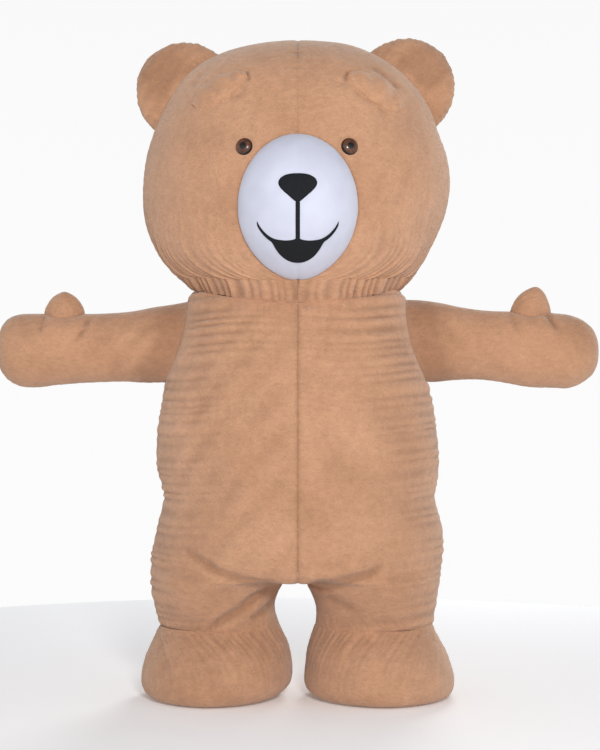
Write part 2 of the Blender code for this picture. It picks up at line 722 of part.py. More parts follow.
def foot_panels(feet, cloth):
    """Each foot has a front and a back upper, gathered at the ankle, and a sole."""
    gathered = {0.0: 0.0, 0.05: 0.9, 0.14: 1.0, 0.26: 0.5, 0.38: 0.0}
    plain = (0.5, 0.63, 0.75, 0.85, 0.93, 1.0)
    for (side, face), form in feet.items():
        outer, inner = [], []
        for t, fade in gathered.items():
            count = 2 * ANKLE_WAVES + 1 if fade else 11
            k = np.arange(count)
            outer.append(form.points(t, k / (count - 1), gather(k, fade, ANKLE_GATHER)))
        for t in plain:
            outer.append(form.points(t, np.linspace(0, 1, 11)))
        for t in [*gathered, *plain]:
            inner.append(form.points(t, np.linspace(0, 1, 11), -WALL))
        shift = (0, face * SEAM_GAP / 2, 0)
        wall(f"foot_{FACE_NAMES[face]}_{SIDE_NAMES[side]}", outer, inner, cloth, moved=shift)
    for side in (LEFT, RIGHT):
        round_it = np.linspace(0, 1, 11)
        front = feet[side, FRONT].points(1.0, round_it)
        back = feet[side, BACK].points(1.0, round_it)
        ring = np.concatenate([front[:-1], back[::-1][:-1]])
        top, bottom = ring.copy(), ring.copy()
        top[:, 2], bottom[:, 2] = FLOOR_Z + WALL, FLOOR_Z
        count = len(ring)
        faces = [tuple(range(count)), tuple(range(count, 2 * count))]
        faces += [(i, (i + 1) % count, (i + 1) % count + count, i + count) for i in range(count)]
        solid(f"sole_{SIDE_NAMES[side]}", np.concatenate([top, bottom]), faces, cloth)


def arm_panels(arms, thumbs, cloth):
    """Each arm has a front and a back panel, which meet along its top and bottom round the thumb's hole."""
    for side, arm in arms.items():
        for face in (FRONT, BACK):
            ring = bud_ring(thumbs[side], face, THUMB_STEPS)
            t, f = arm_locate(arm, ring, face)
            f[[0, -1]] = 1.0
            top_edge, thumb_t = edge_round(t, f, 1.0)
            rows = rows_between([*thumb_t, 0.97], 11)[:-1]
            base = 0.0 if face == FRONT else 2.0
            turned = 1.0 if face == FRONT else -1.0
            outer, inner = [], []
            for t in rows:
                f = np.array(ARM_STEPS) * float(top_edge(np.array(t)))
                outer.append(arm.points(t, base + turned * f))
                inner.append(arm.points(t, base + turned * f, -WALL))
            tip = arm.points([1.0], [base + turned * 0.5])
            outer.append(tip)
            inner.append(tip - arm.axis * WALL)
            shift = (arm.axis[0] * 3 * SEAM_GAP, face * SEAM_GAP / 2, ARM_LIFT)
            wall(f"arm_{FACE_NAMES[face]}_{SIDE_NAMES[side]}", outer, inner, cloth, moved=shift)


def arm_locate(arm, ring, face):
    """(t, f) on the arm of points that lie on it, with f from 0 at the bottom seam to 1 at the top one."""
    reach = np.abs(ring[:, 0])
    low, high = np.zeros(len(ring)), np.ones(len(ring))
    for _ in range(50):
        t = (low + high) / 2
        up = (ring[:, 2] - arm.at("middle", t)) / arm.at("half", t)
        angle = np.arctan2(up, np.abs(ring[:, 1]) / arm.at("depth", t))
        f = angle / math.pi + 0.5
        f_full = f if face == FRONT else 2 - f
        short = np.abs(arm.surface(t, f_full)[:, 0]) < reach
        low, high = np.where(short, t, low), np.where(short, high, t)
    return t, f


def cap(name, form, rings, count, cloth, moved):
    """A closed cap of rings from its root to its tip, such as a thumb or the muzzle."""
    outer, inner = [], []
    for t in rings:
        f = np.arange(count) / count * form.turns
        outer.append(form.points(t, f, np.zeros(count)))
        inner.append(form.points(t, f, -WALL))
    tip = form.points([1.0], [0.5])
    outer.append(tip)
    inner.append(form.points([1.0], [0.5]) - form.tip_normal() * WALL)
    return wall(name, outer, inner, cloth, closed=True, moved=moved)


def ear_panels(ears, cloth):
    """Each ear has a front and a back panel, sewn together round a crinkled rim."""
    rows = np.array([0, 0.09, 0.18, 0.27, 0.36, 0.45, 0.54, 0.63, 0.72, 0.82, 0.93])
    for side, ear in ears.items():
        for face in (FRONT, BACK):
            base, turned = (0.0, 1.0) if face == FRONT else (2.0, -1.0)
            outer, inner = [], []
            for k, t in enumerate(rows):
                f = np.array(EAR_STEPS)
                rim = np.array([1, 0.4, 0, 0, 0, 0.4, 1.0])
                outer.append(ear.points(t, base + turned * f, gather(k, 1, RIM_GATHER) * rim))
                inner.append(ear.points(t, base + turned * f, -WALL))
            tip = ear.points([1.0], [base + turned * 0.5])
            outer.append(tip)
            inner.append(tip - ear.axis * WALL)
            shift = (ear.axis[0] * SEAM_GAP, face * SEAM_GAP / 2, ear.axis[2] * SEAM_GAP + HEAD_LIFT)
            wall(f"ear_{FACE_NAMES[face]}_{SIDE_NAMES[side]}", outer, inner, cloth, moved=shift)


def thumb_caps(thumbs, cloth):
    for side, thumb in thumbs.items():
        thumb.turns = 2.0
        thumb.tip_normal = lambda axis=thumb.axis: axis
        shift = (2.5 * thumb.axis[0] * SEAM_GAP, 0, THUMB_LIFT)
        cap(f"thumb_{SIDE_NAMES[side]}", thumb, (0, 0.22, 0.45, 0.68, 0.88), 16, cloth, shift)


def muzzle_cap(muzzle, cloth):
    muzzle.turns = 1.0
    muzzle.tip_normal = lambda: np.array([0, -1.0, 0])
    moved = (0, -SEAM_GAP, HEAD_LIFT)
    cap("muzzle", muzzle, MUZZLE_RINGS, MUZZLE_STEPS, cloth, moved)


def patch(name, muzzle, rows, felt, thick, moved):
    """Applique on the muzzle: rows of (x, z, swell) points, each row across the patch."""
    x, z, swell = np.moveaxis(np.array(rows, float), -1, 0)
    inner = muzzle.dome_points(x, z, np.full(x.shape, PATCH_GAP))
    outer = muzzle.dome_points(x, z, PATCH_GAP + PATCH_THICK + (thick - PATCH_THICK) * swell)
    return wall(name, list(outer), list(inner), felt, moved=moved)


def face_patches(muzzle, felt):
    moved = (0, -SEAM_GAP, HEAD_LIFT)
    c = columns_of(NOSE_COLUMNS, NOSE_ROWS)
    across = np.linspace(-1, 1, 7)
    middle = (c["z"][0] + c["z"][-1]) / 2
    tall = (c["z"][0] - c["z"][-1]) / 2
    rows = []
    for z, half in zip(c["z"], c["half"]):
        swell = np.sqrt(np.clip(1 - across**2, 0, 1) * max(0.0, 1 - ((z - middle) / tall) ** 2))
        rows.append(np.stack([MUZZLE_X + half * across, np.full(7, z), swell], axis=-1))
    patch("nose", muzzle, rows, felt, NOSE_THICK, moved)
    rows = []
    for z in np.linspace(LINE_TOP_Z, LINE_BOTTOM_Z, 8):
        rows.append([(MUZZLE_X + LINE_HALF * a, z, 0) for a in (-1, 0, 1)])
    patch("nose_line", muzzle, rows, felt, PATCH_THICK, moved)
    c = columns_of(MOUTH_COLUMNS, MOUTH_ROWS)
    rows = []
    for k in [*range(len(MOUTH_ROWS) - 1, 0, -1)] + [*range(len(MOUTH_ROWS))]:
        sign = -1 if len(rows) < len(MOUTH_ROWS) - 1 else 1
        z = np.linspace(c["top"][k], c["bottom"][k], 4)
        rows.append(np.stack([np.full(4, MUZZLE_X + sign * c["x"][k]), z, np.zeros(4)], axis=-1))
    patch("mouth", muzzle, rows, felt, PATCH_THICK, moved)


def on_head(head, x, z, out):
    """Points on the head's front at x and z, moved out."""
    points = np.zeros((len(x), 3))
    for side in (LEFT, RIGHT):
        here = x * side > 0
        if here.any():
            form = head[side, FRONT]
            t, f = form.locate(np.abs(x[here]), z[here])
            points[here] = form.points(t, f, np.asarray(out)[here])
    return points


def brow_pads(head, cloth):
    """Stuffed pads over the eyes: stations along the pad, each crowned across."""
    across = np.linspace(-1, 1, 7)
    for side, rows in BROW_ROWS.items():
        c = columns_of(BROW_COLUMNS, rows)
        run = np.stack([np.gradient(c["x"]), np.gradient(c["z"])], axis=-1)
        run /= np.linalg.norm(run, axis=-1, keepdims=True)
        outer, inner = [], []
        for k in range(len(rows)):
            x = c["x"][k] - run[k, 1] * across * c["half"][k]
            z = c["z"][k] + run[k, 0] * across * c["half"][k]
            rise = PATCH_THICK / 2 + c["rise"][k] * np.sqrt(1 - across**2)
            inner.append(on_head(head, x, z, np.full(7, 2 * PATCH_GAP)))
            outer.append(on_head(head, x, z, 2 * PATCH_GAP + rise))
        moved = (side * SEAM_GAP / 2, -SEAM_GAP / 2, HEAD_LIFT)
        wall(f"brow_{SIDE_NAMES[side]}", outer, inner, cloth, moved=moved)


def eyes(head, plastic):
    """Domed plastic eyes, flat at the back, facing the way the head does there."""
    rings, count = 4, 16
    for side in (LEFT, RIGHT):
        spot = on_head(head, np.array([EYE_X[side]]), np.array([EYE_Z]), np.zeros(1))[0]
        out = on_head(head, np.array([EYE_X[side]]), np.array([EYE_Z]), np.ones(1))[0] - spot
        right = np.cross([0, 0, 1.0], -out)
        right /= np.linalg.norm(right)
        up = np.cross(-out, right)
        start = spot - out * (PATCH_GAP / 2)
        points = []
        for ring in range(rings):
            tilt = ring / rings * math.pi / 2
            radius, rise = EYE_RADIUS * math.cos(tilt), 1.5 * MM + EYE_RISE * math.sin(tilt)
            turn = np.arange(count) / count * 2 * math.pi
            ring = np.cos(turn)[:, None] * right + np.sin(turn)[:, None] * up
            points.extend(start + out * rise + radius * ring)
        turn = np.arange(count) / count * 2 * math.pi
        points.extend(start + EYE_RADIUS * (np.cos(turn)[:, None] * right + np.sin(turn)[:, None] * up))
        points.append(start + out * (1.5 * MM + EYE_RISE))
        tip = len(points) - 1
        levels = [rings, *range(rings)]
        faces = [tuple(rings * count + i for i in range(count))]
        for a, b in zip(levels, levels[1:]):
            for i in range(count):
                j = (i + 1) % count
                faces.append((a * count + i, a * count + j, b * count + j, b * count + i))
        last = (rings - 1) * count
        faces += [(last + i, last + (i + 1) % count, tip) for i in range(count)]
        shift = np.array([side * SEAM_GAP / 2, -SEAM_GAP / 2, EYE_LIFT])
        solid(f"eye_{SIDE_NAMES[side]}", np.array(points) + shift, faces, plastic)


def back_line(body, z):
    """Points of the centre back at heights z, and the way out there."""
    form = body[LEFT, BACK]
    t = form.level(np.zeros_like(z), z)
    return form.surface(t, np.zeros_like(t)), form.normals(t, np.zeros_like(t))


def zip_tapes(body, tape):
    """Two tapes in the slot between the back panels, which meet at the teeth."""
    z = np.linspace(ZIP_TOP_Z, ZIP_BOTTOM_Z, TAPE_STEPS) - SEAM_GAP * np.linspace(1, -1, TAPE_STEPS)
    line, out = back_line(body, z)
    for side in (LEFT, RIGHT):
        outer, inner = [], []
        for x in (SEAM_GAP / 2, TAPE_HALF):
            across = np.array([side * x, 0, 0])
            outer.append(line + across)
            inner.append(line + across - out * TAPE_THICK)
        wall(f"zip_tape_{SIDE_NAMES[side]}", outer, inner, tape, moved=(0, 0, SEAM_GAP))


def box(name, low, high, metal):
    """A plain block in the slider's frame: across, down the back, and out of it."""
    x, d, h = ([low[i], high[i]] for i in range(3))
    points = [(a, b, c) for a in x for b in d for c in h]
    faces = [(0, 1, 3, 2), (4, 6, 7, 5), (0, 4, 5, 1), (2, 3, 7, 6), (0, 2, 6, 4), (1, 5, 7, 3)]
    mesh = bpy.data.meshes.new(name)
    mesh.from_pydata(points, [], faces)
    form = bmesh.new()
    form.from_mesh(mesh)
    bmesh.ops.recalc_face_normals(form, faces=form.faces)
    form.to_mesh(mesh)
    form.free()
    mesh.materials.append(metal)
    made = bpy.data.objects.new(name, mesh)
    bpy.context.scene.collection.objects.link(made)
    return made


def combine(target, tool, operation):
    """target with tool joined on or cut away; tool stays as a hidden helper."""
    step = target.modifiers.new(operation.lower(), "BOOLEAN")
    step.operation, step.object, step.solver = operation, tool, "EXACT"
    tool.hide_render = True
    tool.display_type = "WIRE"


def slider_and_pull(body, metal):
    """The slider at the top of the zip with its bridge, and the pull tab that goes round the bridge."""
    z = ZIP_TOP_Z - SLIDER_DOWN
    line, out = back_line(body, np.array([z]))
    out = out[0]
    down = np.array([0, out[2], -out[1]])
    origin = line[0] + np.array([0, SPINE_Y, SEAM_GAP - FLOOR_Z])
    base = 0.4 * MM
    plate_top = base + SLIDER_THICK
    bridge_top = plate_top + BRIDGE_WINDOW + BRIDGE_BAR
    axis_height = plate_top + BRIDGE_WINDOW / 2
    half = SLIDER_LONG / 2
    plate = box("zip_slider", (-SLIDER_WIDE / 2, -half, base), (SLIDER_WIDE / 2, half, plate_top), metal)
    bridge = box(
        "bridge",
        (-BRIDGE_WIDE / 2, -BRIDGE_LONG / 2, plate_top - 1 * MM),
        (BRIDGE_WIDE / 2, BRIDGE_LONG / 2, bridge_top),
        metal,
    )
    window_half = BRIDGE_LONG / 2 - BRIDGE_BAR
    window = box(
        "window",
        (-BRIDGE_WIDE, -window_half, plate_top),
        (BRIDGE_WIDE, window_half, plate_top + BRIDGE_WINDOW),
        metal,
    )
    combine(bridge, window, "DIFFERENCE")
    combine(plate, bridge, "UNION")
    bar = PULL_THICK / 2
    pull = box("zip_pull", (-PULL_WIDE / 2, -bar, -bar), (PULL_WIDE / 2, PULL_LONG, bar), metal)
    eye = box("eye", (-PULL_EYE_HALF, bar, -PULL_THICK), (PULL_EYE_HALF, PULL_EYE_LONG, PULL_THICK), metal)
    combine(pull, eye, "DIFFERENCE")
    for made in (plate, bridge, window, pull, eye):
        made.rotation_euler = (math.atan2(down[2], down[1]), 0, 0)
        made.location = origin
    for made in (pull, eye):
        made.location = origin + out * axis_height


def clear_scene():
    for old in list(bpy.data.objects):
        bpy.data.objects.remove(old, do_unlink=True)


def main():
    clear_scene()
    plush = material("plush", (0.53, 0.31, 0.18), 0.95)
    white = material("muzzle_cloth", (0.78, 0.77, 0.84), 0.8)
    felt = material("black_felt", (0.008, 0.009, 0.011), 0.9)
    plastic = material("eye_plastic", (0.12, 0.045, 0.02), 0.15)
    tape = material("zip_tape", (0.36, 0.21, 0.12), 0.8)
    metal = material("zip_metal", (0.5, 0.42, 0.3), 0.35, 1.0)

    head, body, feet = head_forms(), body_forms(), foot_forms()
    arms = {side: arm_form(body, side) for side in (LEFT, RIGHT)}
    ears = {side: ear_form(head, side) for side in (LEFT, RIGHT)}
    thumbs = {side: thumb_form(arms[side], side) for side in (LEFT, RIGHT)}
    muzzle = Muzzle(face_y(head))

    head_panels(head, ears, muzzle, plush)
    ear_panels(ears, plush)
    muzzle_cap(muzzle, white)
    face_patches(muzzle, felt)
    brow_pads(head, plush)
    eyes(head, plastic)
    body_panels(body, arms, plush)
    arm_panels(arms, thumbs, plush)
    thumb_caps(thumbs, plush)
    foot_panels(feet, plush)
    zip_tapes(body, tape)
    slider_and_pull(body, metal)


main()
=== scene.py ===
"""Bear mascot costume: the looks. Each cloth panel of the model gets its puckers, folds, seams and plush."""

import math

import bmesh
import bpy
import numpy as np
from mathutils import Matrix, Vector


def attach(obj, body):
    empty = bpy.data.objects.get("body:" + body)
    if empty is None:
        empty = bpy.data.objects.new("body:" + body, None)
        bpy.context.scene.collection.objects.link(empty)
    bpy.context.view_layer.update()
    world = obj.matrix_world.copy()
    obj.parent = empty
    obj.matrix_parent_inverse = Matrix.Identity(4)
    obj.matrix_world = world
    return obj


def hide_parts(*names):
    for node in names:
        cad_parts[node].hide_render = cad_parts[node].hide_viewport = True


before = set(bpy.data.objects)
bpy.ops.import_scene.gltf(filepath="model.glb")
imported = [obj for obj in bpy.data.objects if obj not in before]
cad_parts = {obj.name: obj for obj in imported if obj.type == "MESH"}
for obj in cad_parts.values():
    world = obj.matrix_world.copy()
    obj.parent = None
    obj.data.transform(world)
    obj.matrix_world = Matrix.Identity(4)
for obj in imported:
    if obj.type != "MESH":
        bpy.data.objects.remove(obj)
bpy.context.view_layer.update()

MM = 0.001
LEFT, RIGHT = -1, 1
FRONT, BACK = -1, 1
SIDE_NAMES = {LEFT: "left", RIGHT: "right"}
FACE_NAMES = {FRONT: "front", BACK: "back"}

# The gap between two panels at a seam
SEAM_GAP = 0.3 * MM

# The place of the tables' centre line in the frame's depth
SPINE_Y = 89.4 * MM

# The floor's height in the tables, whose heights are taken down to the soles
FLOOR_Z = 25 * MM

# Sections of the head, from the crown to the neck seam
HEAD_COLUMNS = ("z", "left", "right", "front", "back", "front_drop")
HEAD_ROWS = (
    (2580, 0, 0, 0, 0, 0),
    (2560, 195, 215, 160, 165, 0),
    (2523, 316, 307, 265, 270, 0),
    (2442, 440, 421, 375, 375, 0),
    (2334, 513, 507, 445, 432, 0),
    (2226, 562, 548, 482, 464, 0),
    (2120, 593, 584, 505, 480, 0),
    (2002, 605, 593, 516, 484, 0),
    (1900, 601, 572, 514, 476, 0),
    (1805, 574, 533, 497, 455, 0),
    (1731, 534, 494, 464, 424, 8),
    (1664, 472, 446, 412, 375, 28),
    (1632, 430, 415, 372, 345, 48),
    (1612, 400, 392, 338, 320, 63),
)

# Sections of the body and legs, from the neck seam to the ankles. "merge" is 1 where one section
# goes round the whole body and 0 where each leg has its own, whose inner side is at "left_inner"
# or "right_inner". "front_drop" and "back_drop" are how far the section dips in the middle.
BODY_COLUMNS = (
    "z", "left", "right", "front", "back", "front_drop", "back_drop", "merge", "left_inner", "right_inner",
)
BODY_ROWS = (
    (1612, 400, 392, 338, 320, 63, 0, 1.0, 40, 30),
    (1585, 425, 414, 356, 338, 54, 0, 1.0, 40, 30),
    (1540, 440, 430, 376, 356, 36, 0, 1.0, 40, 30),
    (1470, 460, 447, 402, 378, 16, 0, 1.0, 40, 30),
    (1373, 487, 470, 428, 396, 4, 0, 1.0, 40, 30),
    (1263, 518, 499, 448, 408, 0, 0, 1.0, 40, 30),
    (1177, 531, 525, 458, 414, 0, 0, 1.0, 40, 30),
    (1080, 546, 540, 464, 418, 0, 0, 1.0, 40, 30),
    (988, 554, 550, 465, 420, 0, 0, 1.0, 40, 30),
    (900, 547, 549, 460, 419, 0, 0, 1.0, 40, 30),
    (847, 532, 540, 453, 414, 0, 0, 1.0, 40, 30),
    (807, 522, 534, 448, 410, 0, 0, 1.0, 40, 30),
    (760, 532, 544, 450, 414, 2, 2, 1.0, 40, 30),
    (690, 550, 563, 456, 424, 7, 7, 1.0, 40, 30),
    (640, 561, 568, 455, 426, 18, 15, 1.0, 40, 30),
    (601, 569, 567, 445, 419, 32, 26, 1.0, 40, 30),
    (578, 572, 565, 433, 408, 42, 34, 0.97, 40, 30),
    (561, 573, 564, 417, 395, 46, 38, 0.85, 40, 30),
    (547, 573, 562, 400, 381, 43, 36, 0.62, 40, 30),
    (533, 574, 560, 386, 369, 34, 29, 0.36, 40, 30),
    (515, 574, 558, 373, 357, 21, 19, 0.12, 40, 30),
    (487, 574, 555, 358, 343, 8, 8, 0.0, 44, 30),
    (456, 572, 550, 342, 328, 0, 0, 0.0, 64, 37),
    (420, 568, 545, 319, 308, 0, 0, 0.0, 82, 54),
    (375, 560, 538, 287, 283, 0, 0, 0.0, 92, 69),
    (335, 549, 531, 250, 253, 0, 0, 0.0, 84, 71),
    (304, 538, 527, 226, 232, 0, 0, 0.0, 72, 68),
)

# Sections of the feet, from the ankle seam to the sole seam
FOOT_COLUMNS = ("z", "left", "right", "front", "back", "left_inner", "right_inner")
FOOT_ROWS = (
    (304, 538, 527, 226, 232, 72, 68),
    (283, 549, 534, 245, 239, 64, 62),
    (239, 570, 557, 287, 251, 42, 47),
    (196, 590, 581, 318, 258, 29, 35),
    (153, 604, 597, 338, 262, 22, 30),
    (110, 612, 609, 349, 263, 22, 25),
    (79, 611, 611, 347, 259, 30, 25),
    (53, 601, 605, 333, 250, 52, 36),
    (36, 583, 590, 312, 235, 78, 60),
    (28.3, 556, 562, 284, 212, 110, 96),
)

# Sections of the arms, from the shoulder seam to the mitten's tip
ARM_COLUMNS = ("reach", "top", "bottom", "depth")
ARM_ROWS = {
    LEFT: (
        (478, 1566, 1248, 146),
        (523, 1556, 1247, 143),
        (582, 1546, 1247, 139),
        (668, 1528, 1252, 134),
        (762, 1520, 1250, 131),
        (850, 1518, 1246, 131),
        (935, 1517, 1240, 134),
        (1035, 1519, 1229, 136),
        (1093, 1516, 1235, 130),
        (1130, 1503, 1255, 114),
        (1154, 1480, 1280, 90),
        (1168, 1447, 1305, 62),
        (1175, 1373, 1373, 0),
    ),
    RIGHT: (
        (462, 1574, 1250, 146),
        (510, 1572, 1250, 143),
        (578, 1562, 1255, 139),
        (656, 1544, 1260, 134),
        (735, 1532, 1258, 131),
        (825, 1528, 1245, 132),
        (904, 1526, 1231, 136),
        (990, 1522, 1228, 137),
        (1072, 1512, 1229, 132),
        (1118, 1493, 1251, 115),
        (1150, 1466, 1277, 90),
        (1168, 1436, 1306, 60),
        (1175, 1369, 1369, 0),
    ),
}

# Sections of an ear, of a thumb: "reach" runs out from the bud's own centre
BUD_COLUMNS = ("reach", "half", "depth")
EAR_ROWS = (
    (-20, 196, 84), (30, 189, 84), (80, 171, 78), (125, 139, 68),
    (158, 101, 55), (180, 56, 34), (189, 0, 0),
)
EAR_CENTRE = {LEFT: (-448, 2395), RIGHT: (428, 2411)}
EAR_TILT_DEG = {LEFT: 140.0, RIGHT: 40.0}
THUMB_ROWS = (
    (-8, 81, 68), (22, 76, 62), (48, 62, 52),
    (70, 41, 36), (82, 20, 18), (87, 0, 0),
)
THUMB_CENTRE = {LEFT: (-914, 1517), RIGHT: (910, 1524)}
THUMB_TILT_DEG = {LEFT: 92.0, RIGHT: 80.0}

# Muzzle: an upright egg on the face, pushed forward into a dome
MUZZLE_X, MUZZLE_Z = 0.0, 1894 * MM
MUZZLE_HALF, MUZZLE_TALL = 220 * MM, 264 * MM
MUZZLE_CHIN_TAPER = 0.13
MUZZLE_DEEP = 138 * MM
MUZZLE_SQUARE = 2.5

# Applique on the muzzle: rows of the nose from the top down, stations of the mouth from its middle out
NOSE_COLUMNS = ("z", "half")
NOSE_ROWS = (
    (1998, 14), (1994, 37), (1986, 56), (1974, 67), (1960, 69),
    (1946, 62), (1932, 49), (1918, 33), (1905, 18), (1898, 9),
)
NOSE_THICK = 9 * MM
LINE_TOP_Z, LINE_BOTTOM_Z, LINE_HALF = 1897.3 * MM, 1772 * MM, 8 * MM
MOUTH_COLUMNS = ("x", "top", "bottom")
MOUTH_ROWS = (
    (0, 1771.3, 1686), (14, 1765, 1687), (32, 1762, 1692), (50, 1762, 1702),
    (66, 1764, 1716), (80, 1767, 1735), (92, 1772, 1756), (108, 1782, 1769),
    (124, 1797, 1785), (138, 1815, 1804), (147, 1832, 1822),
)
PATCH_THICK, PATCH_RIM = 3 * MM, 0.6 * MM

# Eyes on the head
EYE_X = {LEFT: -196 * MM, RIGHT: 189 * MM}
EYE_Z, EYE_RADIUS = 2114 * MM, 32 * MM

# Dark pupil and rim as shares of the eye's radius; its dome as shares of the radius and rises in mm
PUPIL_SHARE, IRIS_SHARE = 0.42, 0.88
EYE_PROFILE = (
    (1.0, -4.0), (1.0, 1.0), (0.985, 3.6), (0.94, 6.4), (0.86, 9.4), (0.74, 12.3),
    (0.6, 14.6), (0.5, 15.7), (0.4, 16.5), (0.28, 17.2), (0.14, 17.6),
)

# Brow pads, from the inner end out
BROW_COLUMNS = ("x", "z", "half", "rise")
BROW_ROWS = {
    LEFT: (
        (-190, 2394, 12, 8), (-207, 2387, 23, 14), (-232, 2375, 36, 20), (-264, 2360, 47, 24),
        (-300, 2341, 53, 25), (-336, 2320, 50, 22), (-366, 2299, 37, 15), (-386, 2284, 18, 8),
    ),
    RIGHT: (
        (188, 2394, 12, 8), (206, 2386, 24, 14), (234, 2373, 38, 20), (268, 2357, 49, 24),
        (302, 2337, 53, 25), (334, 2312, 48, 22), (361, 2286, 35, 15), (378, 2266, 17, 8),
    ),
}

# Zip in the centre back seam
ZIP_TOP_Z, ZIP_BOTTOM_Z = 1480 * MM, 640 * MM
ZIP_MITRE = 4 * MM
TAPE_HALF, TAPE_THICK = 14 * MM, 2 * MM


def curve(knots, values, at):
    """A smooth curve through values at knots, read at the places at."""
    slopes = np.gradient(values, knots)
    i = np.clip(np.searchsorted(knots, at, side="right") - 1, 0, len(knots) - 2)
    step = knots[i + 1] - knots[i]
    u = (at - knots[i]) / step
    start = (1 + 2 * u) * (1 - u) ** 2 * values[i] + u * (1 - u) ** 2 * step * slopes[i]
    end = u**2 * (3 - 2 * u) * values[i + 1] + u**2 * (u - 1) * step * slopes[i + 1]
    return start + end


def smooth(u):
    u = np.clip(u, 0, 1)
    return u * u * (3 - 2 * u)


def columns_of(names, rows, plain=()):
    """The table's columns by name, in metres, apart from those that are plain numbers."""
    values = np.array(rows, float).T
    return {n: v * (1 if n in plain else MM) for n, v in zip(names, values)}


class Form:
    """A surface worked out from sections. t runs from its first section to its last, f from 0 to last."""

    last = 1

    def knots(self, *columns):
        """Places of the sections along t, from the longest step that any of the columns makes."""
        steps = np.sqrt(sum(np.diff(c) ** 2 for c in columns))
        along = np.concatenate([[0], np.cumsum(steps)])
        self.length = along[-1]
        return along / along[-1]

    def at(self, name, t):
        return curve(self.t, self.columns[name], t)

    def points(self, t, f, out=0.0):
        """Points at t and f, moved out along the surface's normal by out."""
        t, f, out = np.broadcast_arrays(np.asarray(t, float), np.asarray(f, float), np.asarray(out, float))
        base = self.surface(t, f)
        moved = base + self.normals(t, f) * out[..., None]
        on_seam = np.abs(base[..., :2]) < 1e-7
        moved[..., :2] = np.where(on_seam, base[..., :2], moved[..., :2])
        return moved

    def normals(self, t, f):
        step = 1e-4
        t, f = np.clip(t, 2 * step, 1 - 2 * step), np.asarray(f, float)
        low, high = np.clip(f - step, 0, self.last), np.clip(f + step, 0, self.last)
        along = self.surface(t + step, f) - self.surface(t - step, f)
        across = self.surface(t, high) - self.surface(t, low)
        n = np.cross(along, across)
        n *= self.turn / np.maximum(np.linalg.norm(n, axis=-1, keepdims=True), 1e-12)
        return n


class Trunk(Form):
    """A quarter of the head, of the body with a leg, or half of a foot: side by side and face by face."""

    def __init__(self, names, rows, side, face, pole=False):
        c = columns_of(names, rows, plain=("merge",))
        zeros = np.zeros(len(rows))
        drop = c.get("front_drop" if face == FRONT else "back_drop", zeros)
        outer = c["left" if side == LEFT else "right"]
        inner = c.get("left_inner" if side == LEFT else "right_inner", zeros)
        merge = c.get("merge", zeros + (1.0 if "left_inner" not in c else 0.0))
        self.columns = {
            "z": c["z"],
            "middle_z": c["z"] - drop,
            "outer": outer,
            "inner": (1 - merge) * inner - merge * outer,
            "depth": c["front" if face == FRONT else "back"],
        }
        self.t = self.knots(c["z"], (c["left"] + c["right"]) / 2, (c["front"] + c["back"]) / 2)
        if pole:
            odd = ("outer", "inner", "depth")
            self.t = np.concatenate([[-self.t[1]], self.t])
            for name, v in self.columns.items():
                self.columns[name] = np.concatenate([[-v[1] if name in odd else v[1]], v])
        self.side, self.face = side, face
        self.turn = side * face * -1

    def oval(self, t):
        """The section's centre and half width, and the angle at which it meets the centre plane."""
        outer = self.at("outer", t)
        inner = np.maximum(self.at("inner", t), -outer)
        centre, half = (outer + inner) / 2, np.maximum((outer - inner) / 2, 1e-9)
        return centre, half, np.arcsin(np.clip(centre / half, 0, 1))

    def surface(self, t, f):
        centre, half, start = self.oval(t)
        depth = self.at("depth", t)
        angle = start - f * (start + math.pi / 2)
        x = self.side * (centre - half * np.sin(angle))
        y = self.face * depth * np.cos(angle)
        z = self.at("middle_z", t) + (self.at("z", t) - self.at("middle_z", t)) * smooth(f)
        return np.stack([x, y, z], axis=-1)

    def locate(self, across, z):
        """(t, f) of the points whose |x| is across and whose height is z."""
        f = np.full(np.shape(across), 0.5)
        for _ in range(10):
            t = self.level(f, z)
            centre, half, start = self.oval(t)
            f = (start - np.arcsin(np.clip((centre - across) / half, -1, 1))) / (start + math.pi / 2)
        return t, f

    def level(self, f, z):
        """t where the surface at f is at height z."""
        low, high, share = np.zeros_like(z), np.ones_like(z), smooth(f)
        for _ in range(28):
            t = (low + high) / 2
            above = self.at("z", t) * share + self.at("middle_z", t) * (1 - share) > z
            low, high = np.where(above, t, low), np.where(above, high, t)
        return (low + high) / 2

    def inside(self, p):
        """Whether each point is inside this form, for points at its side and face."""
        f = np.full(len(p), 0.5)
        for _ in range(4):
            t = self.level(f, p[:, 2])
            outer, depth = self.at("outer", t), self.at("depth", t)
            f = np.arctan2(np.abs(p[:, 0]) / outer, np.abs(p[:, 1]) / depth) / (math.pi / 2)
        return (p[:, 0] / outer) ** 2 + (p[:, 1] / depth) ** 2 < 1


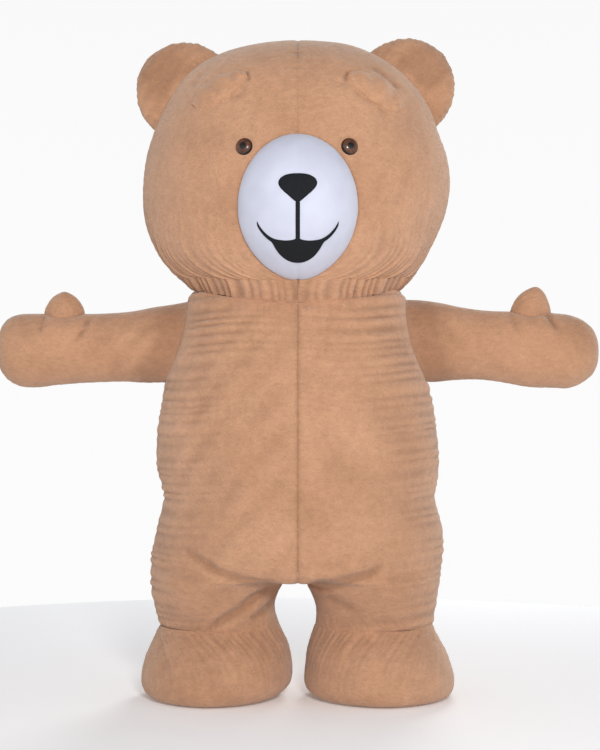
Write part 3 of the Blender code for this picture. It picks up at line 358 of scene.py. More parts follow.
class Bud(Form):
    """An arm, an ear or a thumb, grown out of a parent along its own axis in the plane of the side seams."""

    last = 2

    def __init__(self, origin, tilt, columns, parents):
        self.origin = np.array([origin[0], 0, origin[1]])
        self.axis = np.array([math.cos(tilt), 0, math.sin(tilt)])
        level = abs(self.axis[2]) < 1e-6
        self.up = np.array([0, 0, 1.0]) if level else np.array([-self.axis[2], 0, self.axis[0]])
        self.columns = columns
        self.t = self.knots(columns["reach"], columns["half"])
        mirrored = {n: (-v[-2] if n in ("half", "depth") else v[-2]) for n, v in columns.items()}
        self.t = np.append(self.t, 2 - self.t[-2])
        self.columns = {n: np.append(v, mirrored[n]) for n, v in columns.items()}
        self.parents = parents
        self.root_share = 0.55
        self.turn = -np.cross(self.axis, self.up)[1]

    def ring(self, f):
        """Where the root leaves the parent, as a distance along the axis from the first section."""
        low, high = np.full(np.shape(f), -250 * MM), np.full(np.shape(f), 250 * MM)
        flat_f = np.ravel(f)
        face = self.faces(flat_f)
        for _ in range(26):
            middle = (low + high) / 2
            p = self.section(np.zeros_like(flat_f), flat_f, np.ravel(middle))
            hit = np.where(face == FRONT, self.parents[FRONT](p), self.parents[BACK](p))
            hit = hit.reshape(np.shape(f))
            low, high = np.where(hit, middle, low), np.where(hit, high, middle)
        return (low + high) / 2

    def faces(self, f):
        return np.where(np.mod(f, 2.0) <= 1.0, FRONT, BACK)

    def section(self, t, f, further):
        """f runs from 0 at the lower seam over the front to 1 at the upper seam, then over the back to 2."""
        angle = f * math.pi - math.pi / 2
        height = self.at("middle", t) + self.at("half", t) * np.sin(angle)
        y = -self.at("depth", t) * np.cos(angle)
        reach = self.at("reach", t) + further
        flat = self.origin + reach[..., None] * self.axis + height[..., None] * self.up
        flat[..., 1] = y
        return flat

    def surface(self, t, f):
        share = np.clip(1 - t / self.root_share, 0, 1) ** 2
        return self.section(t, f, self.root_shift(f) * share)

    def root_shift(self, f):
        """The root's reach past the first section, read from a fine ring that is worked out once."""
        if not hasattr(self, "ring_table"):
            self.ring_f = np.linspace(0, 2, 97)
            self.ring_table = self.ring(self.ring_f)
        return np.interp(np.mod(f, 2.0), self.ring_f, self.ring_table)


class Muzzle(Form):
    """A dome on the face. t runs from the edge to the middle, f once round from the chin."""

    def __init__(self, face_y):
        self.face_y = face_y
        self.turn = 1

    def narrowing(self, v):
        return 1 - MUZZLE_CHIN_TAPER * np.clip(-v, 0, 1) ** 3

    def surface(self, t, f):
        radius, angle = 1 - t, f * 2 * math.pi
        v = -radius * np.cos(angle)
        x = MUZZLE_X + MUZZLE_HALF * self.narrowing(v) * radius * np.sin(-angle)
        return self.on_dome(x, MUZZLE_Z + MUZZLE_TALL * v)

    def on_dome(self, x, z):
        """The dome's points in front of x and z."""
        v = (z - MUZZLE_Z) / MUZZLE_TALL
        radius = np.hypot((x - MUZZLE_X) / (MUZZLE_HALF * self.narrowing(v)), v)
        rise = MUZZLE_DEEP * np.clip(1 - radius**MUZZLE_SQUARE, 0, 1) ** (1 / 1.6)
        return np.stack([x, self.face_y(x, z) - rise, z], axis=-1)

    def dome_points(self, x, z, out):
        """The same, moved out along the dome's normal."""
        step = 1e-4
        across = self.on_dome(x + step, z) - self.on_dome(x - step, z)
        upward = self.on_dome(x, z + step) - self.on_dome(x, z - step)
        n = np.cross(across, upward)
        n /= np.linalg.norm(n, axis=-1, keepdims=True)
        return self.on_dome(x, z) + n * np.asarray(out)[..., None]


def strip(faces, points, a, b):
    """Faces between two rows of point numbers. Rows of differing lengths are joined by short diagonals."""
    if len(a) == len(b):
        faces += [(a[i], a[i + 1], b[i + 1], b[i]) for i in range(len(a) - 1)]
        return
    i = j = 0
    while i < len(a) - 1 or j < len(b) - 1:
        far = 1e9
        step_a = math.dist(points[a[i + 1]], points[b[j]]) if i < len(a) - 1 else far
        step_b = math.dist(points[a[i]], points[b[j + 1]]) if j < len(b) - 1 else far
        if step_a <= step_b:
            faces.append((a[i], a[i + 1], b[j]))
            i += 1
        else:
            faces.append((a[i], b[j + 1], b[j]))
            j += 1


def edge_round(ring_t, ring_f, seam):
    """An edge that keeps to the seam but for a detour round a hole, and the hole's own rows."""
    order = np.argsort(ring_t)
    ts, fs = ring_t[order], ring_f[order]

    def edge(t):
        return np.where((t > ts[0]) & (t < ts[-1]), np.interp(t, ts, fs), seam)

    return edge, ts


def quarters(columns, rows, pole=False):
    """The four panels' forms of a section table, by side and face."""
    return {(s, f): Trunk(columns, rows, s, f, pole=pole) for s in (LEFT, RIGHT) for f in (FRONT, BACK)}


def parents_of(forms, side):
    return {face: forms[side, face].inside for face in (FRONT, BACK)}


def arm_form(body, side):
    c = columns_of(ARM_COLUMNS, ARM_ROWS[side])
    columns = {
        "reach": c["reach"],
        "middle": (c["top"] + c["bottom"]) / 2,
        "half": (c["top"] - c["bottom"]) / 2,
        "depth": c["depth"],
    }
    return Bud((0, 0), math.pi if side == LEFT else 0.0, columns, parents_of(body, side))


def bud_form(rows, centre, tilt_deg, parents):
    columns = columns_of(BUD_COLUMNS, rows)
    columns["middle"] = np.zeros(len(rows))
    return Bud((centre[0] * MM, centre[1] * MM), math.radians(tilt_deg), columns, parents)


def ear_form(head, side):
    return bud_form(EAR_ROWS, EAR_CENTRE[side], EAR_TILT_DEG[side], parents_of(head, side))


def thumb_form(arm, side):
    def in_arm(p):
        reach = np.abs(p[:, 0])
        low, high = np.zeros(len(p)), np.ones(len(p))
        for _ in range(40):
            t = (low + high) / 2
            short = arm.at("reach", t) < reach
            low, high = np.where(short, t, low), np.where(short, high, t)
        up = (p[:, 2] - arm.at("middle", t)) / arm.at("half", t)
        return up**2 + (p[:, 1] / arm.at("depth", t)) ** 2 < 1

    return bud_form(THUMB_ROWS, THUMB_CENTRE[side], THUMB_TILT_DEG[side], {FRONT: in_arm, BACK: in_arm})


def face_y(head):
    """The head's front at x and z, as a function."""

    def front(x, z):
        shape = np.shape(x)
        x, z = np.ravel(x), np.ravel(z)
        y = np.zeros(len(x))
        for side in (LEFT, RIGHT):
            here = (x * side > 0) | ((x == 0) & (side == RIGHT))
            if here.any():
                form = head[side, FRONT]
                t, f = form.locate(np.abs(x[here]), z[here])
                y[here] = form.surface(t, f)[..., 1]
        return y.reshape(shape)

    return front


def bud_ring(bud, face, steps):
    """The root's points on one face, from one seam to the other, at the steps of its own panels."""
    f = np.array(steps, float) if face == FRONT else 2 - np.array(steps, float)
    return bud.surface(np.zeros(len(f)), f)


def hole_at_side(form, bud, face, steps):
    """The panel's edge at the side seam, led round a bud's root."""
    ring = bud_ring(bud, face, steps)
    t, f = form.locate(np.abs(ring[:, 0]), ring[:, 2])
    f[[0, -1]] = 1.0
    return edge_round(t, f, 1.0)


def arm_locate(arm, ring, face):
    """(t, f) on the arm of points that lie on it, with f from 0 at the bottom seam to 1 at the top one."""
    reach = np.abs(ring[:, 0])
    low, high = np.zeros(len(ring)), np.ones(len(ring))
    for _ in range(50):
        t = (low + high) / 2
        up = (ring[:, 2] - arm.at("middle", t)) / arm.at("half", t)
        angle = np.arctan2(up, np.abs(ring[:, 1]) / arm.at("depth", t))
        f = angle / math.pi + 0.5
        f_full = f if face == FRONT else 2 - f
        short = np.abs(arm.surface(t, f_full)[:, 0]) < reach
        low, high = np.where(short, t, low), np.where(short, high, t)
    return t, f


def on_head(head, x, z, out):
    """Points on the head's front at x and z, moved out."""
    points = np.zeros((len(x), 3))
    for side in (LEFT, RIGHT):
        here = x * side > 0
        if here.any():
            form = head[side, FRONT]
            t, f = form.locate(np.abs(x[here]), z[here])
            points[here] = form.points(t, f, np.asarray(out)[here])
    return points


def back_line(body, z):
    """Points of the centre back at heights z, and the way out there."""
    form = body[LEFT, BACK]
    t = form.level(np.zeros_like(z), z)
    return form.surface(t, np.zeros_like(t)), form.normals(t, np.zeros_like(t))


# Where the tables' own origin stands in the frame
PLACE = np.array([0, SPINE_Y, -FLOOR_Z])

# The visible cloth: its rows' step, the depth of its inner skin, and how much coarser that skin is
ROW_STEP = 8.5 * MM
INNER_SKIN = 4.0 * MM
INNER_EVERY = 2

# Camera: straight in front of the bear, at the height of its chest
CAMERA_AWAY, CAMERA_X, CAMERA_Z = 7.0, 0.008, 1.254
FRAME_TALL = 2.9025
SENSOR = 24.0

# Depths of the puckers and folds, and the rise at which the painted shade in folds and the painted highlight
# on ridges reach their full change
PAINTED_LIGHT_RISE = 4.4 * MM
RIPPLE_MIDDLE = 0.36
PINCH = 4.5 * MM
SIDE_DEEP, SIDE_REACH, SIDE_PITCH = 18.0 * MM, 300 * MM, 37 * MM
CHEST_DEEP, CHEST_REACH = 5.0 * MM, 430 * MM
NECK_DEEP, NECK_REACH, NECK_PITCH = 14.0 * MM, 120 * MM, 37 * MM
CHEEK_DEEP, CHEEK_REACH = 8.0 * MM, 270 * MM
FOOT_DEEP, FOOT_REACH, FOOT_PITCH = 13.0 * MM, 115 * MM, 30 * MM
ROOT_DEEP, ROOT_REACH, ROOT_PITCH = 6.0 * MM, 60 * MM, 33 * MM
ROOT_DIP, ROOT_DIP_AT = 12.0 * MM, 32 * MM
# Painted shade near the arms' roots and along the body's side edges: its strength, and how far it reaches on
# arm and body
ROOT_SHADE, ROOT_SHADE_REACH, SIDE_SHADE_REACH = 0.6, 16 * MM, 7 * MM
THUMB_TALLER = {LEFT: 7 * MM, RIGHT: 20 * MM}
THUMB_LEAN = {LEFT: 0, RIGHT: 12 * MM}
THUMB_SINK = 4 * MM
LUMP_DEEP, LUMP_SIZE = 2.2 * MM, 260 * MM

# How far in from an edge the lumps set in, half widths of seam troughs, and how deep ears and arms are set
CALM = 30 * MM
SEAM_HALF, SIDE_SEAM_HALF = 8 * MM, 9 * MM
BUD_SINK = 1.5 * MM
SOLE_THICK, SOLE_TURN_UP = 2.6 * MM, 2.2 * MM

# Small ripples beside a seam: how deep they are, how far they run in from it, and their pitch
HEAD_SIDE = (5 * MM, 90 * MM, SIDE_PITCH)
MUZZLE_SEAM = (2.6 * MM, 26 * MM, 24 * MM)
FACE_SEAM = (2.4 * MM, 45 * MM, 33 * MM)
NAPE_SEAM = (2.2 * MM, 50 * MM, 36 * MM)
BODY_TOP = (5 * MM, 45 * MM, NECK_PITCH)
BODY_END = (5 * MM, 45 * MM, FOOT_PITCH)
BODY_MIDDLE = (2.6 * MM, 36 * MM, 30 * MM)
SOLE_SEAM = (3 * MM, 26 * MM, 26 * MM)
FOOT_SIDE = (2.5 * MM, 30 * MM, 30 * MM)
ARM_SIDE = (3.5 * MM, 34 * MM, 31 * MM)
EAR_RIM = (8 * MM, 34 * MM, 27 * MM)
EAR_ROOT = (3.5 * MM, 30 * MM, 28 * MM)
THUMB_ROOT = (3 * MM, 26 * MM, 27 * MM)
MUZZLE_RIM = (2.2 * MM, 20 * MM, 25 * MM)

# Where the head's relief changes: the cheeks, the muzzle's height, the hidden middle seam, the brows
CHEEK_FROM, CHEEK_FADE = 0.12, 0.15
MUZZLE_SPAN = 0.27
SEAM_SHOWS_ABOVE, SEAM_SHOWS_BELOW, SEAM_FADE = 2.44, 1.75, 0.05
BROW_X, BROW_Z, BROW_WIDE, BROW_TALL, BROW_DEEP = 0.30, 2.335, 0.13, 0.085, 2.5 * MM
CHIN_Z = 2.05
CHEST_Z, ARM_HOLE_Z = 0.85, 1.27

# Linear colours that the materials are made from
PLUSH_DARK, PLUSH_LIGHT = (0.48, 0.258, 0.15), (0.555, 0.308, 0.187)
FELT_COLOURS = (0.006, 0.0065, 0.008), (0.014, 0.015, 0.018)
IRIS_COLOURS = (0.045, 0.014, 0.006), (0.13, 0.045, 0.018)
PUPIL_COLOURS = (0.003, 0.003, 0.003), (0.008, 0.007, 0.006)
BRASS_COLOURS = (0.36, 0.29, 0.19), (0.56, 0.47, 0.33)
TAPE_COLOURS = (0.24, 0.13, 0.07), (0.36, 0.21, 0.12)
# Painted light: the colour multiplier for painted shade in folds (0), plain cloth (0.5) and painted highlight
# on ridges (1)
PAINTED_LIGHT_STOPS = ((0.0, (0.72, 0.69, 0.67)), (0.5, (0.98, 0.98, 0.98)), (1.0, (1.1, 1.1, 1.1)))
MUZZLE_DARK, MUZZLE_LIGHT = (0.52, 0.535, 0.635), (0.58, 0.595, 0.7)
FLOOR_COLOUR = (0.96, 0.96, 0.96)
FLOOR_GLOW = 0.12

# The floor's radius, the sky's colour by height, and the lights: name, place, target, size, power
FLOOR_REACH, FLOOR_SIDES = 3.2, 96
SKY_STOPS = (
    (0.0, (0.97, 0.97, 0.97)), (0.2, (0.95, 0.95, 0.95)),
    (0.42, (0.4, 0.41, 0.43)), (1.0, (0.26, 0.27, 0.3)),
)
LIGHTS = (
    ("key_light", (0.8, -7.0, 3.0), (0, 0, 1.25), 1.2, 300),
    ("back_light", (1.5, 6.5, 4.0), (0, 0, 1.4), 3.0, 200),
)

# Creases as runs of (x, z) points in millimetres, with their depth and half width
CREASES = {
    (LEFT, FRONT): (
        (((-440, 640), (-376, 592), (-304, 553), (-213, 521), (-120, 506), (-20, 500)), 12, 15),
        (((-85, 490), (-150, 446), (-220, 394), (-290, 348), (-352, 306)), 14, 15),
        (((-96, 404), (-140, 372), (-188, 344)), 8, 12),
    ),
    (RIGHT, FRONT): (
        (((20, 500), (100, 506), (172, 516), (264, 540), (330, 576)), 13, 17),
        (((90, 452), (160, 414), (240, 388)), 5, 16),
    ),
    (LEFT, BACK): (
        (((-390, 600), (-300, 550), (-200, 518), (-100, 506), (-20, 500)), 12, 17),
        (((-96, 440), (-190, 402), (-290, 380)), 7, 17),
    ),
    (RIGHT, BACK): (
        (((20, 500), (100, 506), (200, 521), (300, 556), (385, 606)), 12, 17),
        (((100, 446), (190, 400), (300, 362)), 8, 17),
    ),
}
HEAD_CREASES = {
    LEFT: (
        (((-206, 2410), (-190, 2400), (-181, 2382), (-184, 2362)), 11, 8),
        (((-330, 2446), (-380, 2404), (-414, 2350)), 5, 14),
        (((-262, 2296), (-210, 2318), (-186, 2350)), 4, 12),
    ),
    RIGHT: (
        (((204, 2412), (186, 2402), (176, 2384), (180, 2362)), 11, 8),
        (((268, 2440), (304, 2420), (352, 2386), (390, 2342)), 8, 13),
        (((196, 2340), (236, 2308), (290, 2280), (340, 2240)), 4, 12),
    ),
}
ARM_CREASES = {
    LEFT: (
        (((-984, 1516), (-992, 1480), (-998, 1430)), 5, 10),
        (((-806, 1512), (-832, 1450), (-876, 1390)), 7, 11),
        (((-560, 1480), (-620, 1430), (-640, 1370)), 2, 20),
    ),
    RIGHT: (
        (((950, 1560), (972, 1505), (1003, 1446)), 11, 11),
        (((826, 1520), (838, 1480), (842, 1440)), 5, 12),
        (((560, 1480), (600, 1420), (650, 1380)), 2, 20),
    ),
}


def ripple(along, pitch, seed):
    """Uneven ridges 1 high, even about 0, whose spacing and height change along a seam."""
    u = along / pitch
    u = u + 0.32 * np.sin(0.83 * u + seed) + 0.18 * np.sin(2.1 * u + 2.3 * seed)
    height = 0.68 + 0.32 * np.sin(0.57 * u + 1.7 * seed) * np.cos(1.31 * u + seed)
    return (0.5 + 0.5 * np.cos(2 * math.pi * u)) ** 0.8 * height - RIPPLE_MIDDLE


def lumps(p, size, seed):
    """Soft unevenness from -1 to 1, in space."""
    total = np.zeros(p.shape[:-1])
    for k in range(6):
        turn = 2.4 * k + seed
        way = np.array([math.cos(turn), math.sin(1.7 * turn), math.sin(turn + 1.1 * k)])
        total += np.sin(p @ way * (2 * math.pi / size) * (0.7 + 0.23 * k) + 1.9 * turn)
    return total / 6


def beyond(distance, reach):
    """1 at an edge, falling to nothing."""
    return np.exp(-np.maximum(distance, 0) / reach)


def away(distance, near=9 * MM):
    """0 at an edge, 1 a little way in from it."""
    return 1 - np.exp(-np.maximum(distance, 0) / near)


def hem(e, edge, kind, along, seed, near=9 * MM):
    """Small ripples of a kind beside an edge; along is the place along it."""
    deep, reach, pitch = kind
    return deep * beyond(e[edge], reach) * away(e[edge], near) * ripple(along, pitch, seed)


def calm(e, *edges):
    """0 at the edges named, 1 well inside the panel."""
    return math.prod(away(e[edge], CALM) for edge in edges)


def creases(p, rows):
    return sum(crease(p, *row) for row in rows)


def crease(p, line, deep, wide):
    """A trough along a run of (x, z) points, with a soft roll beside it and uneven depth along it."""
    q, line = p[..., [0, 2]], np.array(line, float) * MM
    best, at = np.full(q.shape[:-1], 1e9), np.zeros(q.shape[:-1])
    under = np.zeros(q.shape[:-1])
    lengths = np.linalg.norm(np.diff(line, axis=0), axis=1)
    total, before = lengths.sum(), 0.0
    for a, b, length in zip(line, line[1:], lengths):
        way = (b - a) / length
        s = np.clip((q - a) @ way, 0, length)
        gap = q - (a + s[..., None] * way)
        distance = np.linalg.norm(gap, axis=-1)
        nearer = distance < best
        best = np.where(nearer, distance, best)
        at = np.where(nearer, (before + s) / total, at)
        under = np.where(nearer, -np.tanh(gap[..., 1] / (wide * MM)), under)
        before += length
    ends = smooth(at * 5) * smooth((1 - at) * 4)
    unevenness = 0.8 + 0.2 * np.sin(at * 17 + wide)
    d = best / (wide * MM)
    roll = 0.26 * np.exp(-(((d - 2.3) / 1.2) ** 2)) * (1 + 0.5 * under)
    return (-np.exp(-(d**2)) + roll) * deep * MM * ends * unevenness


def cells_area(grid):
    """The area of a grid of points, from its cells."""
    across, along = np.diff(grid, axis=0)[:, 1:], np.diff(grid, axis=1)[1:]
    return float(np.linalg.norm(np.cross(across, along), axis=-1).sum())


def skin(form, rows, low_edge, high_edge, count, relief):
    """A panel's outer and inner points as grids of rows, the painted shade and highlight of the outer ones,
    and its flat cut's sizes.
    """
    shares = np.linspace(0, 1, count)
    low, high = low_edge(rows)[:, None], high_edge(rows)[:, None]
    f = low * (1 - shares) + high * shares
    t = np.broadcast_to(rows[:, None], f.shape)
    base, normals = form.surface(t, f), form.normals(t, f)
    across = np.linalg.norm(np.diff(base, axis=1), axis=-1)
    down = np.linalg.norm(np.diff(base, axis=0), axis=-1)
    s = np.concatenate([np.zeros((len(rows), 1)), np.cumsum(across, axis=1)], axis=1)
    c = np.concatenate([np.zeros((1, count)), np.cumsum(down, axis=0)], axis=0)
    edges = {"low": s, "high": s[:, -1:] - s, "top": c, "bottom": c[-1:] - c}
    rise = relief(base, edges)
    outer = base + normals * rise[..., None]
    inner = base + normals * (lowest_near(rise) - INNER_SKIN)[..., None]
    on_seam = np.abs(base[..., :2]) < 1e-7
    for grid in (outer, inner):
        grid[..., :2] = np.where(on_seam, base[..., :2], grid[..., :2])
    # Painted light: 0 is painted shade where the cloth sinks into a fold or trough, 1 a painted highlight on
    # a ridge
    painted_light = np.clip(0.5 + rise / PAINTED_LIGHT_RISE / 2, 0, 1)
    return outer, inner, painted_light, (float(s[:, -1].max()), float(c[-1].max()), cells_area(base))


def lowest_near(rise):
    """The least rise of each point and its neighbours: a thinned skin below it never shows in a trough."""
    near = INNER_EVERY - 1
    for axis, size in enumerate(rise.shape):
        wide = np.pad(rise, [(near, near) if k == axis else (0, 0) for k in (0, 1)], mode="edge")
        rise = np.min([np.take(wide, range(k, k + size), axis) for k in range(2 * near + 1)], axis=0)
    return rise


def thinned(grid):
    """Every few rows and columns of a grid, with its edges kept."""
    keep = [np.unique(np.append(np.arange(0, n, INNER_EVERY), n - 1)) for n in grid.shape[:2]]
    return grid[np.ix_(*keep)]


def cloth(name, outer, inner, paint, closed=False, first=None, last=None, moved=(0, 0, 0), painted_light=None):
    """A cloth shell from two grids of points; first and last are the poles at its ends.
    The painted light of its outer points is kept for the paint: 0 is painted shade in a fold, 0.5 where it is
    plain, 1 a painted highlight on a ridge."""
    points, faces, skins = [], [], []
    for rows, depth in ((list(outer), 0), (list(thinned(inner)), 1)):
        rows = ([first[depth][None]] if first is not None else []) + rows
        rows = rows + ([last[depth][None]] if last is not None else [])
        numbered = []
        for row in rows:
            numbers = list(range(len(points), len(points) + len(row)))
            points.extend(row)
            numbered.append(numbers + numbers[:1] if closed and len(row) > 1 else numbers)
        for a, b in zip(numbered, numbered[1:]):
            strip(faces, points, a, b)
        skins.append(numbered)
    out, inn = skins
    strip(faces, points, out[0], inn[0])
    strip(faces, points, out[-1], inn[-1])
    if not closed:
        strip(faces, points, [r[0] for r in out], [r[0] for r in inn])
        strip(faces, points, [r[-1] for r in out], [r[-1] for r in inn])
    faces = [f for f in faces if len(set(f)) > 2]
    made = solid(name, np.array(points) + np.array(moved) + PLACE, faces, paint)
    painted_lights = np.full(len(points), 0.5)
    if painted_light is not None:
        start = 0 if first is None else 1
        painted_lights[start : start + painted_light.size] = painted_light.ravel()
    # Each point's painted shade and highlight, as a point attribute that the plush's paint reads
    made.data.attributes.new("painted_light_attribute", "FLOAT", "POINT").data.foreach_set("value", painted_lights)
    return made


def solid(name, points, faces, paint):
    mesh = bpy.data.meshes.new(name)
    mesh.from_pydata([tuple(p) for p in points], [], faces)
    form = bmesh.new()
    form.from_mesh(mesh)
    bmesh.ops.recalc_face_normals(form, faces=form.faces)
    form.to_mesh(mesh)
    form.free()
    mesh.shade_smooth()
    mesh.set_sharp_from_angle(angle=math.radians(60))
    mesh.materials.append(paint)
    made = bpy.data.objects.new(name, mesh)
    bpy.context.scene.collection.objects.link(made)
    return made


def piece(made, node, sizes=None):
    """Ties a piece to the frame and hides the model's part that it stands for."""
    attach(made, "costume")
    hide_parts(node)
    if sizes is not None:
        width, length, area = sizes
        flat = (round(width, 3), round(length, 3))
        most = flat[0] * flat[1]
        round(min(max(area, 0.31 * most), most), 4)


def panel(part, side, face, grids, paint, moved, **ends):
    """One plush panel of a part, from what skin gives, tied to its node."""
    outer, inner, painted_light, sizes = grids
    node = f"{part}_{FACE_NAMES[face]}_{SIDE_NAMES[side]}"
    piece(cloth(f"{node}_cloth", outer, inner, paint, painted_light=painted_light, moved=moved, **ends), node, sizes)


def shaded(painted_light, distance, reach):
    """The painted light, with painted shade added near where distance is 0."""
    return np.clip(painted_light - ROOT_SHADE * beyond(distance, reach), 0, 1)


def even_rows(form, start=0.0, end=1.0, must=()):
    """Rows about ROW_STEP apart, with those that must be there."""
    count = max(int((end - start) * form.length / ROW_STEP), 8)
    rows = list(must)
    room = 0.4 * (end - start) / count
    for row in np.linspace(start, end, count + 1):
        if row in (start, end) or not len(must) or np.abs(np.array(must) - row).min() > room:
            rows.append(row)
    return np.unique(rows)


def plain_edge(value):
    return lambda t: np.full(np.shape(t), float(value))


def fine_hole(form, bud, face, count=61):
    """The panel's side edge led round a bud's root, with the rows that follow it closely."""
    turn = (1 - np.cos(np.linspace(0, math.pi, count))) / 2
    return hole_at_side(form, bud, face, turn)


def head_cloth(head, ears, muzzle, plush):
    count = 96
    around = muzzle.surface(np.zeros(count), np.arange(count) / count)
    for (side, face), form in head.items():
        outer_edge, ear_t = fine_hole(form, ears[side], face, 41)
        must, inner_edge = list(ear_t), plain_edge(0)
        if face == FRONT:
            half = around[around[:, 0] * side > -1e-6]
            half = half[np.argsort(-half[:, 2])]
            mt, mf = form.locate(np.abs(half[:, 0]), half[:, 2])
            mf[[0, -1]] = 0.0
            inner_edge, muzzle_t = edge_round(mt, mf, 0.0)
            must += list(muzzle_t)
        rows = even_rows(form, 0.006, 1.0, must)
        seed = 1.3 * side + 0.7 * face

        def relief(p, e):
            x, z = p[..., 0], p[..., 2]
            rise = NECK_DEEP * beyond(e["bottom"], NECK_REACH) * away(e["bottom"])
            cheeks = smooth((np.abs(x) - CHEEK_FROM) / CHEEK_FADE)
            rise = rise + CHEEK_DEEP * np.exp(-((e["bottom"] / CHEEK_REACH) ** 2)) * cheeks
            rise = rise * ripple(e["low"] + 0.02 * np.sin(z * 21), NECK_PITCH, seed)
            rise = rise + hem(e, "high", HEAD_SIDE, z, 2.0 * side, 60 * MM)
            end = away(e["bottom"], 12 * MM)
            if face == FRONT:
                rise = rise + creases(p, HEAD_CREASES[side])
                by_muzzle = np.exp(-(((z - MUZZLE_Z) / MUZZLE_SPAN) ** 4))
                rise = rise + hem(e, "low", MUZZLE_SEAM, z, 1) * by_muzzle
                rise = rise - 5 * MM * beyond(e["low"], SEAM_HALF) * by_muzzle
                above = smooth((z - SEAM_SHOWS_ABOVE) / SEAM_FADE)
                below = smooth((SEAM_SHOWS_BELOW - z) / SEAM_FADE)
                shows = 0.12 + 0.88 * np.maximum(above, below)
                rise = rise - PINCH * shows * beyond(e["low"], SEAM_HALF) * (1 - by_muzzle) * end
                rise = rise + hem(e, "low", FACE_SEAM, z, 3) * (1 - by_muzzle)
                brow = np.exp(-(((x - side * BROW_X) / BROW_WIDE) ** 2) - ((z - BROW_Z) / BROW_TALL) ** 2)
                rise = rise + BROW_DEEP * brow * (1 + lumps(p, 0.09, 4))
            else:
                rise = rise - PINCH * beyond(e["low"], SIDE_SEAM_HALF) * end
                rise = rise + hem(e, "low", NAPE_SEAM, z, 2)
            rise = rise - PINCH * beyond(e["high"], SIDE_SEAM_HALF) * end
            jaw = 0.6 + 0.4 * smooth((CHIN_Z - z) / 0.3)
            return rise + LUMP_DEEP * lumps(p, LUMP_SIZE, seed) * calm(e, "high", "low") * jaw

        grids = skin(form, rows, inner_edge, outer_edge, 112, relief)
        top = form.surface(np.array([0.0]), np.array([0.5]))[0]
        moved = (side * SEAM_GAP / 2, face * SEAM_GAP / 2, 0)
        panel("head", side, face, grids, plush, moved, first=(top, top - np.array([0, 0, INNER_SKIN])))


def body_cloth(body, arms, plush):
    for (side, face), form in body.items():
        outer_edge, arm_t = fine_hole(form, arms[side], face)
        heights = [ZIP_TOP_Z + ZIP_MITRE, ZIP_TOP_Z, ZIP_BOTTOM_Z, ZIP_BOTTOM_Z - ZIP_MITRE]
        slot = form.level(np.zeros(4), np.array(heights))

        def inner_edge(t):
            if face == FRONT:
                return np.zeros(np.shape(t))
            beside = (TAPE_HALF + SEAM_GAP / 2) / (math.pi / 2 * form.at("outer", t))
            return beside * np.interp(t, slot, [0, 1, 1, 0])

        must = list(arm_t) + (list(slot) if face == BACK else [])
        rows = even_rows(form, 0.0, 1.0, must)
        seed = 0.9 * side + 2.1 * face

        def relief(p, e):
            x, z = p[..., 0], p[..., 2]
            sides = ripple(z + 0.012 * np.sin(9 * x), SIDE_PITCH, 1.1 * side)
            chest = smooth((z - CHEST_Z) / 0.25)
            rise = SIDE_DEEP * np.exp(-((e["high"] / SIDE_REACH) ** 2))
            rise = rise + CHEST_DEEP * np.exp(-((e["high"] / CHEST_REACH) ** 2)) * chest
            rise = rise * (0.08 + 0.92 * away(e["high"], 90 * MM)) * away(e["high"])
            rise = rise * sides * (0.75 + 0.5 * lumps(p, 0.4, 7 * side))
            rise = rise + hem(e, "top", BODY_TOP, e["low"], seed) + hem(e, "bottom", BODY_END, e["low"], seed)
            rise = rise + hem(e, "low", BODY_MIDDLE, z, 5 + face)
            ends = away(e["top"], 12 * MM) * away(e["bottom"], 12 * MM)
            above_crotch = 0.5 + 0.5 * smooth((z - 0.47) / 0.04)
            rise = rise - PINCH * beyond(e["low"], SEAM_HALF) * above_crotch * ends
            rise = rise - PINCH * beyond(e["high"], SIDE_SEAM_HALF) * smooth((ARM_HOLE_Z - z) / 0.02) * ends
            rise = rise + creases(p, CREASES[side, face])
            soft = LUMP_DEEP * 1.3 * calm(e, "high", "low", "top", "bottom")
            return rise + soft * lumps(p, LUMP_SIZE, seed)

        outer, inner, painted_light, sizes = skin(form, rows, inner_edge, outer_edge, 104, relief)
        # Painted shade in a narrow band along the body's side edge, round the arm hole too
        painted_light = shaded(painted_light, np.linalg.norm(outer - outer[:, -1:], axis=-1), SIDE_SHADE_REACH)
        moved = (side * SEAM_GAP / 2, face * SEAM_GAP / 2, 0)
        panel("body", side, face, (outer, inner, painted_light, sizes), plush, moved)


def foot_cloth(feet, plush):
    for (side, face), form in feet.items():
        seed = 1.7 * side + face

        def relief(p, e):
            gathers = ripple(e["low"], FOOT_PITCH, seed)
            rise = FOOT_DEEP * beyond(e["top"], FOOT_REACH) * away(e["top"], 14 * MM) * gathers
            rise = rise + hem(e, "bottom", SOLE_SEAM, e["low"], 2 * seed)
            for edge in ("low", "high"):
                rise = rise + hem(e, edge, FOOT_SIDE, p[..., 2], side) - 3 * MM * beyond(e[edge], SEAM_HALF)
            soft = LUMP_DEEP * calm(e, "high", "low", "top", "bottom")
            return rise + soft * lumps(p, 0.2, seed)

        grids = skin(form, even_rows(form), plain_edge(0), plain_edge(1), 124, relief)
        panel("foot", side, face, grids, plush, (0, face * SEAM_GAP / 2, 0))
    for side in (LEFT, RIGHT):
        sole_cloth(feet, side, plush)


